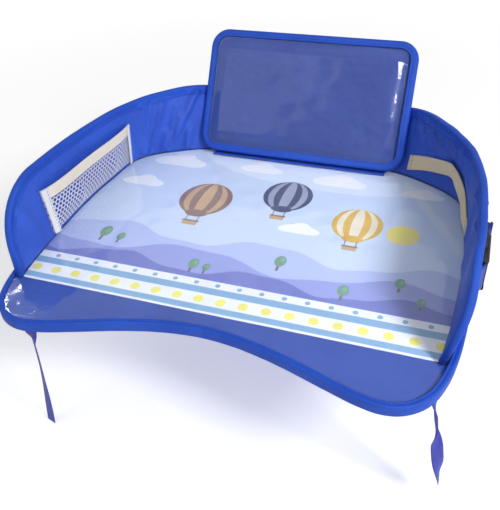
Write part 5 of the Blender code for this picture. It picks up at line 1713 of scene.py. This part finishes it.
trim_half = POCKET_TAPE_WIDTH / 2 / pocket_run
up, across = np.meshgrid(np.linspace(0, 1, 40), np.linspace(-1, 1, 9), indexing="ij")
bead = 0.12 * MM * np.sin(up * 31) * (1 - across**2)
height = POCKET_FOOT + POCKET_HEIGHT * up
for name, node, centre in (
    ("pocket_front_trim", "pocket_front_tape", trim_half),
    ("pocket_rear_trim", "pocket_rear_tape", 1.0 - trim_half),
):
    along_share = centre + trim_half * across
    places = pocket_first + (pocket_last - pocket_first) * along_share
    stand = pocket_stand(np.clip(along_share, 0, 1), 1.0) + TRIM_CLEAR + bead
    trim_points = off_lining(places, height, stand)
    trim = sheet_mesh(name, trim_points)
    thicken(trim, POCKET_TAPE_THICKNESS)
    attach(trim, white_tape, "tray", [node])
    seam = off_lining(places, height, stand + POCKET_TAPE_THICKNESS / 2)[1:-1, 6]
    stitch_run(name + "_stitches", seam, seam - trim_points[1:-1, 6])

# %% [markdown]
# ## The cup band
#
# An elastic band crosses the right back corner and keeps a cup upright. It is sewn flat to the
# wall at both ends and hangs slack between them: it climbs along the back to a bend at the
# corner, then comes down along the side, where it tips back a little. A table gives its height
# at a few shares of its length, and each station turns about its middle line.

# %% Cup band
CUP_WIDTH = 15.0 * MM
CUP_THICKNESS = 1.2 * MM
CUP_SEAM = 7.0 * MM
CUP_SLACK = 5.0 * MM
CUP_MOST_ROLL = math.radians(9.0)
CUP_ROLLED = (0.5, 0.62, 0.86, 0.955)
CUP_BACK_X = 119.0 * MM
CUP_SIDE_Y = 38.0 * MM
CUP_CURL = 0.5 * MM
CUP_ROLL_ROOM = 0.6 * MM
# Shares of the band's length, and its middle's height over the floor of the frame in millimetres
CUP_PATH = (
    (0.0, 21.5), (0.11, 27.0), (0.23, 33.0), (0.36, 39.0), (0.45, 43.0), (0.52, 44.0),
    (0.6, 40.0), (0.68, 36.0), (0.79, 32.0), (0.87, 27.0), (1.0, 20.0),
)
cup_first = place_at_x(CUP_BACK_X, INNER_FACE_INSET)
cup_last = place_at_y(CUP_SIDE_Y, True, INNER_FACE_INSET)
cup_share = np.linspace(0, 1, 150)
cup_places = cup_first + (cup_last - cup_first) * cup_share
cup_run = abs(cup_last - cup_first) * outline_length
table_shares, table_heights = np.array(CUP_PATH).T
cup_spread = np.clip(cup_share + np.linspace(-0.05, 0.05, 11)[:, None], 0, 1)
cup_height = np.interp(cup_spread, table_shares, table_heights).mean(axis=0) * MM
from_seam = np.clip(np.minimum(cup_share, 1 - cup_share) * cup_run - CUP_SEAM, 0, None)
free = from_seam / (cup_run / 2 - CUP_SEAM)
roll = CUP_MOST_ROLL * within(cup_share, CUP_ROLLED)
lift_off = GAP + CUP_THICKNESS / 2
cup_stand = lift_off + CUP_SLACK * np.sin(math.pi / 2 * free) ** 2
rolled_stand = lift_off + CUP_WIDTH / 2 * np.sin(roll) + CUP_ROLL_ROOM * (roll > 0)
cup_stand = np.maximum(cup_stand, rolled_stand)
cup_lines = []
for edge in np.linspace(-CUP_WIDTH / 2, CUP_WIDTH / 2, 9):
    curl = CUP_CURL * (2 * edge / CUP_WIDTH) ** 2 * smooth_share(free, 0.0, 0.4)
    z = cup_height + edge * np.cos(roll)
    stand = cup_stand - edge * np.sin(roll) + curl
    cup_lines.append(off_lining(cup_places, z, stand, above_foot=False))
cup_rows = np.stack(cup_lines, axis=1)
cup_band = sheet_mesh("cup_band", cup_rows)
thicken(cup_band, CUP_THICKNESS)
attach(cup_band, band_elastic, "tray", ["cup_strap"])
for name, station in (("cup_stitches_back", 4), ("cup_stitches_side", -5)):
    row, following = cup_rows[station], cup_rows[station + 1]
    outward = unit(np.cross(row[-1] - row[0], following[4] - row[4]))
    stitch_run(name, row - outward * CUP_THICKNESS / 2, -outward)

# %% [markdown]
# ## The holder
#
# The holder leans back on the wall's rim. It is a stiff board between two cloths, edged with
# tape, with a clear film in front that makes the pocket. All its pieces are built upright in
# the holder's own frame and then turned by one matrix, whose lean is read from the board in the
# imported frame.

# %% Frame of the holder
HOLDER_WIDTH = 228.0 * MM
HOLDER_HEIGHT = 134.0 * MM
HOLDER_RADIUS = 20.0 * MM
HOLDER_TAPE = 0.9 * MM
HOLDER_LAP = 8.0 * MM
HOLDER_CLOTH = 0.8 * MM
HOLDER_BOARD = 2.0 * MM
WINDOW_FRONT = HOLDER_TAPE + GAP
LINING_FRONT = WINDOW_FRONT + FILM_THICKNESS + GAP
BACK_FRONT = LINING_FRONT + HOLDER_CLOTH + GAP + HOLDER_BOARD + GAP
HOLDER_THICKNESS = BACK_FRONT + HOLDER_CLOTH + GAP + HOLDER_TAPE
SHEET_INSET = HOLDER_TAPE + 4 * GAP

board_faces = frame["nodes"]["holder_board"].data.polygons
broadest = max(board_faces, key=lambda face: face.area)
holder_lean = math.atan2(abs(broadest.normal.z), abs(broadest.normal.y))
fold_joint = next(joint for joint in frame["joints"] if joint["name"] == "holder_fold")
print("holder leans", round(math.degrees(holder_lean), 2), "degrees; keys:", sorted(fold_joint))
board_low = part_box("holder_binding")[0]
holder_up = Vector((0, math.sin(holder_lean), math.cos(holder_lean)))
holder_front = Vector((0, -math.cos(holder_lean), math.sin(holder_lean)))
HOLDER_AXIS = Vector((0, HEM_FRONT_Y, board_low.z + HOLDER_THICKNESS * math.sin(holder_lean)))
holder_turn = Matrix((Vector((1, 0, 0)), holder_up, holder_front)).transposed().to_4x4()
holder_turn = Matrix.Translation(HOLDER_AXIS) @ holder_turn


def holder_outline(inset, steps=14, along_side=12):
    """The holder's outline, a rectangle with round corners, moved inwards."""
    reach = HOLDER_RADIUS - inset
    side = HOLDER_WIDTH / 2 - HOLDER_RADIUS
    low, high = HOLDER_RADIUS, HOLDER_HEIGHT - HOLDER_RADIUS
    corners = []
    for k, (x, z) in enumerate(((side, high), (-side, high), (-side, low), (side, low))):
        angles = np.radians(90.0 * k + 90.0 * np.arange(steps + 1) / steps)
        corners.append(np.stack([x + reach * np.cos(angles), z + reach * np.sin(angles)], axis=1))
    points = []
    for k, corner_points in enumerate(corners):
        following = corners[(k + 1) % 4][0]
        shares = np.linspace(0, 1, along_side + 1)[1:-1, None]
        points += [corner_points, corner_points[-1] * (1 - shares) + following * shares]
    return np.concatenate(points)


def on_holder(piece):
    """Turn a piece from the holder's own frame into its place."""
    piece.data.transform(holder_turn)
    return piece


# %% Cloths of the holder
HOLDER_CENTRE = (0.0, HOLDER_HEIGHT / 2)
HOLDER_WAVE = 0.22 * MM


def holder_cloth(name, node, front, seed, side, material):
    """A cloth of the holder with faint waves towards its free side."""

    def stand(x, z):
        slack = slack_noise(x, z, seed, longest=0.07, shortest=0.02)
        edge = np.minimum(HOLDER_WIDTH / 2 - np.abs(x), np.minimum(z, HOLDER_HEIGHT - z))
        wave = side * HOLDER_WAVE * slack * smooth_share(edge, 9 * MM, 20 * MM)
        return wave - (front + HOLDER_CLOTH / 2)

    piece = disc_mesh(name, holder_outline(SHEET_INSET), HOLDER_CENTRE, 30, stand)
    thicken(on_holder(piece), HOLDER_CLOTH)
    attach(piece, material, "holder", [node])


# The lining takes the darker copy of the Oxford cloth: painted shade on the holder's front
holder_cloth("holder_lining_cloth", "holder_lining", LINING_FRONT, 61, 1.0, lining)
holder_cloth("holder_back_cloth", "holder_back", BACK_FRONT, 62, -1.0, oxford)

# %% Tape round the holder
half = (HOLDER_THICKNESS - HOLDER_TAPE) / 2
HOLDER_STITCH = 1.7 * MM
HOLDER_GROOVE = 0.4 * MM
HOLDER_PUCKER_ROOM = 0.2 * MM
RING_CLOSURE = 14 * MM
lap_insets = np.linspace(half * 0.8, HOLDER_LAP, 9)[1:]
holder_section = [(inset, -half) for inset in lap_insets[::-1]]
for angle in np.radians(np.linspace(-90, 90, 11)):
    turn_inset = HOLDER_TAPE / 2 + half * 0.75 * (1 - math.cos(angle))
    holder_section.append((turn_inset, half * math.sin(angle)))
holder_section += [(inset, half) for inset in lap_insets]
tape_rows = []
for inset, across in holder_section:
    ring = holder_outline(inset, steps=22, along_side=90)
    length_round = running_length(ring)
    wave = 0.1 * MM * cloth_noise(length_round, across * 5, 63, longest=0.03, shortest=0.006)
    lap_share = smooth_share(inset, half * 0.6, half * 1.1)
    from_closure = np.minimum(length_round, length_round[-1] - length_round)
    wave = np.clip(wave * smooth_share(from_closure, 0, RING_CLOSURE), -0.12 * MM, 0.08 * MM)
    groove = HOLDER_GROOVE * seam_groove(HOLDER_LAP - inset - HOLDER_STITCH, 0.7 * MM)
    change = (wave - groove) * lap_share * math.copysign(1.0, across)
    stand = -(HOLDER_THICKNESS / 2 + across + change)
    tape_rows.append(np.concatenate([ring, stand[:, None]], axis=1))
holder_tape = on_holder(sheet_mesh("holder_tape", np.stack(tape_rows, axis=1), closed=True))
thicken(holder_tape, HOLDER_TAPE - HOLDER_PUCKER_ROOM)
attach(holder_tape, tape_cloth, "holder", ["holder_binding"])

seam_ring = holder_outline(HOLDER_LAP - HOLDER_STITCH, steps=22, along_side=90)
for name, way in (("holder_stitches_front", 1), ("holder_stitches_back", -1)):
    proud = half + (HOLDER_TAPE - HOLDER_PUCKER_ROOM) / 2 - HOLDER_GROOVE
    out = way * proud - HOLDER_THICKNESS / 2
    seam = np.concatenate([seam_ring, np.full((len(seam_ring), 1), out)], axis=1)
    on_holder(stitch_run(name, seam, (0, 0, way), body="holder", closed=True))

# %% Window of the holder
POCKET_ROOM = 9.0 * MM
WINDOW_SLOPE = 15.0 * MM
WINDOW_RIPPLE_ROOM = 0.05 * MM


def window_rows():
    """The film: sewn in on three sides, standing off the lining, open at the right."""
    margin, wide = SHEET_INSET, HOLDER_WIDTH / 2
    left, right = -wide + margin, wide - HOLDER_LAP - 1.5 * MM
    low, high = margin, HOLDER_HEIGHT - margin
    flat = HOLDER_LAP + GAP - margin
    corner = HOLDER_RADIUS - margin
    x, z = np.meshgrid(np.linspace(left, right, 110), np.linspace(low, high, 70), indexing="ij")

    def rise(distance):
        share = np.clip((distance - flat) / WINDOW_SLOPE, 0.0, 1.0)
        return (1 - np.cos(math.pi * share)) / 2

    mouth = 0.3 + 0.7 * rise(right - x + flat)
    stand = rise(x - left) * rise(np.minimum(z - low, high - z)) * mouth
    middle = (low + high) / 2
    a = np.clip((left + corner - x) / corner, 0.0, None)
    b = np.clip((np.abs(z - middle) - (high - low) / 2 + corner) / corner, 0.0, None)
    in_corner = (a > 0) & (b > 0)
    rounded_x = left + corner - corner * a * np.sqrt(1 - b * b / 2)
    reach = (high - low) / 2 - corner + corner * b * np.sqrt(1 - a * a / 2)
    rounded_z = middle + np.copysign(reach, z - middle)
    px = np.where(in_corner, rounded_x, x)
    pz = np.where(in_corner, rounded_z, z)
    past_straight = np.clip(px - wide + HOLDER_RADIUS, 0.0, None)
    room = middle - HOLDER_RADIUS + np.sqrt(corner**2 - past_straight**2)
    pz = middle + (pz - middle) * room / (middle - margin)
    ripple = cloth_noise(x, z, 71, waves=16, longest=0.09, shortest=0.018)
    slack = POCKET_ROOM * stand * (0.7 + 0.035 * ripple)
    front = -(WINDOW_FRONT + FILM_THICKNESS / 2) + slack
    return np.stack([px, pz, front], axis=-1)


holder_window = on_holder(sheet_mesh("holder_film", window_rows()))
thicken(holder_window, FILM_THICKNESS - WINDOW_RIPPLE_ROOM)
attach(holder_window, holder_film, "holder", ["holder_window"])

# %% [markdown]
# A hem joins the holder to the table. It lies on the film under the holder and turns up in front
# of its lower edge, where the fold line is, so the two stay within a few millimetres of each
# other as the holder folds down over the table.

# %% Hem under the holder
HEM_HALF = 97.0 * MM
HEM_THICKNESS = 0.7 * MM
HEM_SEAM_MARGIN = 3 * MM
hem_low, hem_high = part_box("holder_hinge_strip")
hem_z = (hem_low.z + hem_high.z) / 2
# The turn up in front of the holder: steps in depth and height from the fold line
HEM_TURN = ((0.8, 0.1), (0.1, 0.5), (-0.1, 0.9), (-0.1, 1.4), (-0.1, 1.9))
hem_section = [(y, hem_z) for y in np.linspace(hem_high.y, HEM_FRONT_Y + 2.0 * MM, 8)]
hem_section += [(HEM_FRONT_Y + depth * MM, hem_z + rise * MM) for depth, rise in HEM_TURN]
hem_x = np.linspace(-HEM_HALF, HEM_HALF, 150)
hem_rows = []
for y, z in hem_section:
    wave = 0.14 * MM * cloth_noise(hem_x, y * 3, 81, longest=0.05, shortest=0.012)
    hem_rows.append(np.stack([hem_x, y - np.abs(wave) * (z > hem_z), z + 0 * hem_x], axis=1))
holder_hem = sheet_mesh("holder_hem", np.stack(hem_rows, axis=1))
thicken(holder_hem, HEM_THICKNESS)
attach(holder_hem, oxford, "tray", ["holder_hinge_strip"])
seam_x = np.linspace(HEM_SEAM_MARGIN - HEM_HALF, HEM_HALF - HEM_SEAM_MARGIN, 60)
hem_seam = [(x, HEM_FRONT_Y + 2.4 * MM, hem_z + HEM_THICKNESS / 2) for x in seam_x]
stitch_run("hem_stitches", hem_seam, (0, 0, 1))

# %% [markdown]
# ## The seat strap and its buckle
#
# A webbing strap runs round the outside of the wall, and a side-release buckle on the right
# closes it behind the seat. Webbing is stiff across its width, so it is a loft of straight
# rows: along the wall first, then on edge through the slots of the buckle. The buckle's four
# moulded pieces keep their CAD shape and only get softer edges and their plastic.

# %% Sizes of the strap
WEBBING_WIDTH = 25.0 * MM
WEBBING_THICKNESS = 1.4 * MM
WEBBING_SHEET = WEBBING_THICKNESS - 0.1 * MM
STRAP_HEIGHT = 19.5 * MM
ANCHOR_SEWN = 26.0 * MM
STRAP_EASE = 14.0 * MM
TAIL_SETBACK = 3.0 * MM
TAIL_LENGTH = 58.0 * MM
FIRST_LAYER = GAP + WEBBING_THICKNESS / 2
SECOND_LAYER = FIRST_LAYER + WEBBING_THICKNESS + GAP
STRAP_CENTRE_Z = WALL_FOOT_Z + STRAP_HEIGHT
WEB_BAR = 3.6 * MM
WEB_SLOT = 4.4 * MM
BAR_THICKNESS = 3.0 * MM
BEND_RADIUS = 1.3 * MM
socket_low, socket_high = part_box("buckle_socket")
tongue_low, tongue_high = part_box("buckle_tongue")
tongue_thickness = tongue_high.x - tongue_low.x
buckle_x = (socket_low.x + socket_high.x) / 2
LEFT_ANCHOR_Y = -48.0 * MM
left_anchor_place = place_at_y(LEFT_ANCHOR_Y, False, WALL_LEDGE)
ACROSS = np.linspace(-WEBBING_WIDTH / 2, WEBBING_WIDTH / 2, 7)


def on_wall(first, last, standoff, steps):
    """Rows of webbing that lies on the wall's outer face."""
    places = np.linspace(first, last, steps + 1)
    rows = []
    for edge in ACROSS:
        run = np.full(len(places), STRAP_HEIGHT + edge)
        rows.append(outer_face(places, run) + wall_normal(places, run) * standoff)
    return np.stack(rows, axis=1)


def rounded_path(points, radius, steps=6):
    """A line in plan whose corners are rounded."""
    points = [np.array(point) for point in points]
    path = [points[0]]
    for before, corner, after in zip(points, points[1:], points[2:]):
        back, forth = before - corner, after - corner
        cut = min(radius, np.linalg.norm(back) / 2, np.linalg.norm(forth) / 2)
        start = corner + back / np.linalg.norm(back) * cut
        end = corner + forth / np.linalg.norm(forth) * cut
        for t in np.linspace(0, 1, steps + 1):
            path.append(start * (1 - t) ** 2 + corner * 2 * t * (1 - t) + end * t * t)
    path.append(points[-1])
    return np.array(path)


def upright(path):
    """Rows of webbing on edge along a line in plan."""
    lines = [np.column_stack([path, np.full(len(path), STRAP_CENTRE_Z + edge)]) for edge in ACROSS]
    return np.stack(lines, axis=1)


# %% Seat strap
tongue_end = tongue_high.y
slot_y = tongue_end - WEB_BAR - WEB_SLOT / 2
strap_side = tongue_thickness / 2 + FIRST_LAYER
fold_y = tongue_end + TAIL_SETBACK + WEBBING_WIDTH
leave = place_at_y(fold_y + STRAP_EASE, True, WALL_LEDGE)
wall_rows = on_wall(left_anchor_place, leave, SECOND_LAYER, 300)
before_flat, last_flat = wall_rows[-2, 3, :2], wall_rows[-1, 3, :2]
inner_x, outer_x = buckle_x - strap_side, buckle_x + strap_side
inner_run = [before_flat, last_flat, (inner_x, tongue_end), (inner_x, slot_y)]
turn_run = [
    (inner_x, tongue_end - 0.5 * MM),
    (inner_x, slot_y),
    (outer_x, slot_y),
    (outer_x, tongue_end),
]
inner_path = rounded_path(inner_run, 6 * MM)[1:-1]
turn_path = rounded_path(turn_run, BEND_RADIUS)
near_y = tongue_end + TAIL_SETBACK
outer_near = np.linspace(tongue_end, near_y, 4)[1:]
outer_y = np.concatenate([outer_near, np.linspace(near_y, fold_y - 0.6 * MM, 30)[1:]])
outer_rows = []
for y in outer_y:
    top = WEBBING_WIDTH / 2 - max(y - near_y, 0.0)
    heights = STRAP_CENTRE_Z + np.linspace(-WEBBING_WIDTH / 2, top, len(ACROSS))
    outer_rows.append(np.column_stack([np.full(7, outer_x), np.full(7, y), heights]))
inner_rows, turn_rows = upright(inner_path), upright(turn_path)
strap_rows = np.concatenate([wall_rows[:-1], inner_rows, turn_rows, np.array(outer_rows)])
seat_webbing = sheet_mesh("seat_webbing", strap_rows)
thicken(seat_webbing, WEBBING_SHEET)
attach(seat_webbing, webbing, "tray", ["seat_strap"])

# %% Anchors of the strap
sewn = ANCHOR_SEWN / outline_length
patch_rows = on_wall(left_anchor_place, left_anchor_place - sewn, FIRST_LAYER, 20)
left_patch = sheet_mesh("left_strap_anchor", patch_rows)
thicken(left_patch, WEBBING_SHEET)
attach(left_patch, webbing, "tray", ["left_anchor"])

rear_y = socket_low.y
bar_y = rear_y + WEB_BAR + WEB_SLOT / 2
bar_side = BAR_THICKNESS / 2 + FIRST_LAYER
sewn_y = rear_y - STRAP_EASE
anchor_first = place_at_y(sewn_y - ANCHOR_SEWN, True, WALL_LEDGE)
anchor_last = place_at_y(sewn_y, True, WALL_LEDGE)
under_rows = on_wall(anchor_first, anchor_last, FIRST_LAYER, 24)
over_rows = on_wall(anchor_last, anchor_first, SECOND_LAYER, 24)
loop = [
    under_rows[-2, 3, :2],
    under_rows[-1, 3, :2],
    (buckle_x - bar_side, rear_y),
    (buckle_x - bar_side, bar_y),
    (buckle_x + bar_side, bar_y),
    (buckle_x + bar_side, rear_y),
    over_rows[0, 3, :2],
    over_rows[1, 3, :2],
]
loop_rows = upright(rounded_path(loop, 1.6 * MM)[1:-1])
anchor_rows = np.concatenate([under_rows[:-1], loop_rows, over_rows[1:]])
right_loop = sheet_mesh("right_strap_anchor", anchor_rows)
thicken(right_loop, WEBBING_SHEET)
attach(right_loop, webbing, "tray", ["right_anchor"])


# The box and cross of stitches, as shares along and across the sewn webbing
BOX_SPOTS = (
    (0.1, 0.12), (0.9, 0.12), (0.9, 0.88), (0.1, 0.88), (0.1, 0.12), (0.9, 0.88), (0.9, 0.12),
    (0.1, 0.88),
)


def box_stitches(name, rows):
    """The box and cross that hold a webbing's sewn end, on its outer face."""
    out = unit(np.cross(rows[:, -1] - rows[:, 0], np.gradient(rows[:, 3], axis=0)))
    out = out * np.sign((out[:, :2] * rows[:, 3, :2]).sum(axis=1).mean())
    face = rows + out[:, None] * (WEBBING_THICKNESS / 2)

    def spot(u, v):
        i, j = u * (len(rows) - 1), v * (len(ACROSS) - 1)
        a, b = int(min(i, len(rows) - 2)), int(min(j, len(ACROSS) - 2))
        low = face[a, b] * (1 - i + a) + face[a + 1, b] * (i - a)
        high = face[a, b + 1] * (1 - i + a) + face[a + 1, b + 1] * (i - a)
        return low * (1 - j + b) + high * (j - b)

    path = []
    for (u0, v0), (u1, v1) in zip(BOX_SPOTS, BOX_SPOTS[1:]):
        path += [spot(u0 + (u1 - u0) * t, v0 + (v1 - v0) * t) for t in np.linspace(0, 1, 12)[:-1]]
    stitch_run(name, path, out.mean(axis=0))


left_over_rows = on_wall(left_anchor_place, left_anchor_place + sewn, SECOND_LAYER, 24)
box_stitches("right_anchor_stitches", over_rows)
box_stitches("left_anchor_stitches", left_over_rows)

# %% Loose end of the strap
tail_x = buckle_x + tongue_thickness / 2 + SECOND_LAYER
TAIL_CURL = 1.3 * MM
# The tail's folded top edge: its height over the fold and how far it is tucked in
TAIL_TOP = ((0.55, 1.5), (0.45, 0.7), (0.0, 0.2))
tail_rows = []
for u in np.linspace(0, 1, 26):
    y = near_y + WEBBING_WIDTH * u
    top = STRAP_CENTRE_Z + WEBBING_WIDTH / 2 - WEBBING_WIDTH * u
    low = STRAP_CENTRE_Z + WEBBING_WIDTH / 2 - TAIL_LENGTH
    folded = [top + above * MM for above, _ in TAIL_TOP]
    heights = np.concatenate([folded, np.linspace(top - 0.8 * MM, low, 30)])
    inward = np.concatenate([[tuck * MM for _, tuck in TAIL_TOP], np.zeros(30)])
    curl = TAIL_CURL * ((top - heights) / TAIL_LENGTH) ** 2
    tail_rows.append(np.column_stack([tail_x - inward + curl, np.full(33, y), heights]))
strap_end = sheet_mesh("strap_loose_end", np.array(tail_rows))
thicken(strap_end, WEBBING_SHEET)
attach(strap_end, webbing, "strap_end", ["strap_tail"])

# %% Buckle
BUCKLE_ROUND = 0.35 * MM
for node in ("buckle_socket", "buckle_tongue", "release_arm_upper", "release_arm_lower"):
    soft_edge = round_edges(keep_shape(node, black_plastic), BUCKLE_ROUND, 3)
    soft_edge.limit_method = "ANGLE"
    soft_edge.harden_normals = True

# %% [markdown]
# ## The ties
#
# Two satin ribbons hang from the front corners and tie the table down. A ribbon twists and
# sways as it hangs, so each has a middle line with a slow sway, and its width turns about that
# line.

# %% Ties
TIE_WIDTH = 10.0 * MM
TIE_THICKNESS = 0.7 * MM
TIE_TURN_ROOM = 0.2 * MM
TIE_CUP = 0.5 * MM
TIE_INSET = EDGE_LAP / 2
TIE_TOP_Z = edge_bottom - EDGE_TAPE / 2 - GAP
FRONT_Y = -115 * MM


def hang_tie(name, node, body, share_out, length, sway, turns, bow):
    """A ribbon that hangs from the edge, swaying outwards and turning as it goes."""
    side = math.copysign(1.0, share_out)
    x = abs(share_out) * BASE_WIDTH / 2
    side_place = place_at_y(FRONT_Y, True)
    place = bisect(lambda spot: plan_at(spot, TIE_INSET)[0][0] < x, 0.0, side_place)
    point, normal = plan_at(place, TIE_INSET)
    heading = math.atan2(normal[0], -normal[1]) * side
    t = np.linspace(0, 1, 90)
    turn = heading + sum(high * smooth_share(t, first, last) for first, last, high in turns) * side
    centre_x = point[0] * side + sway * side * t
    centre_y = point[1] + bow * np.sin(math.pi * t)
    rows = []
    for across in np.linspace(-0.5, 0.5, 7):
        cup = TIE_CUP * (1 - (2 * across) ** 2) * np.sin(math.pi * np.clip(t * 1.2, 0, 1))
        x_out = centre_x + across * TIE_WIDTH * np.cos(turn) - cup * np.sin(turn)
        y_out = centre_y + across * TIE_WIDTH * np.sin(turn) + cup * np.cos(turn)
        rows.append(np.stack([x_out, y_out, TIE_TOP_Z - length * t], axis=1))
    tie = sheet_mesh(name, np.stack(rows, axis=1))
    thicken(tie, TIE_THICKNESS - TIE_TURN_ROOM)
    attach(tie, ribbon_cloth, body, [node])


# Each turn of a ribbon: over which shares of its length it turns, and how far in radians
left_turns = ((0.0, 0.12, 0.85), (0.35, 1.0, -0.42))
right_turns = ((0.0, 0.14, 0.8), (0.26, 0.56, -1.4), (0.66, 1.0, 1.05))
hang_tie("left_ribbon_tie", "tie_left", "left_ribbon", -0.7, 120 * MM, 12 * MM, left_turns, 2 * MM)
hang_tie(
    "right_ribbon_tie", "tie_right", "right_ribbon", 0.91, 92 * MM, 14 * MM, right_turns, -2 * MM
)
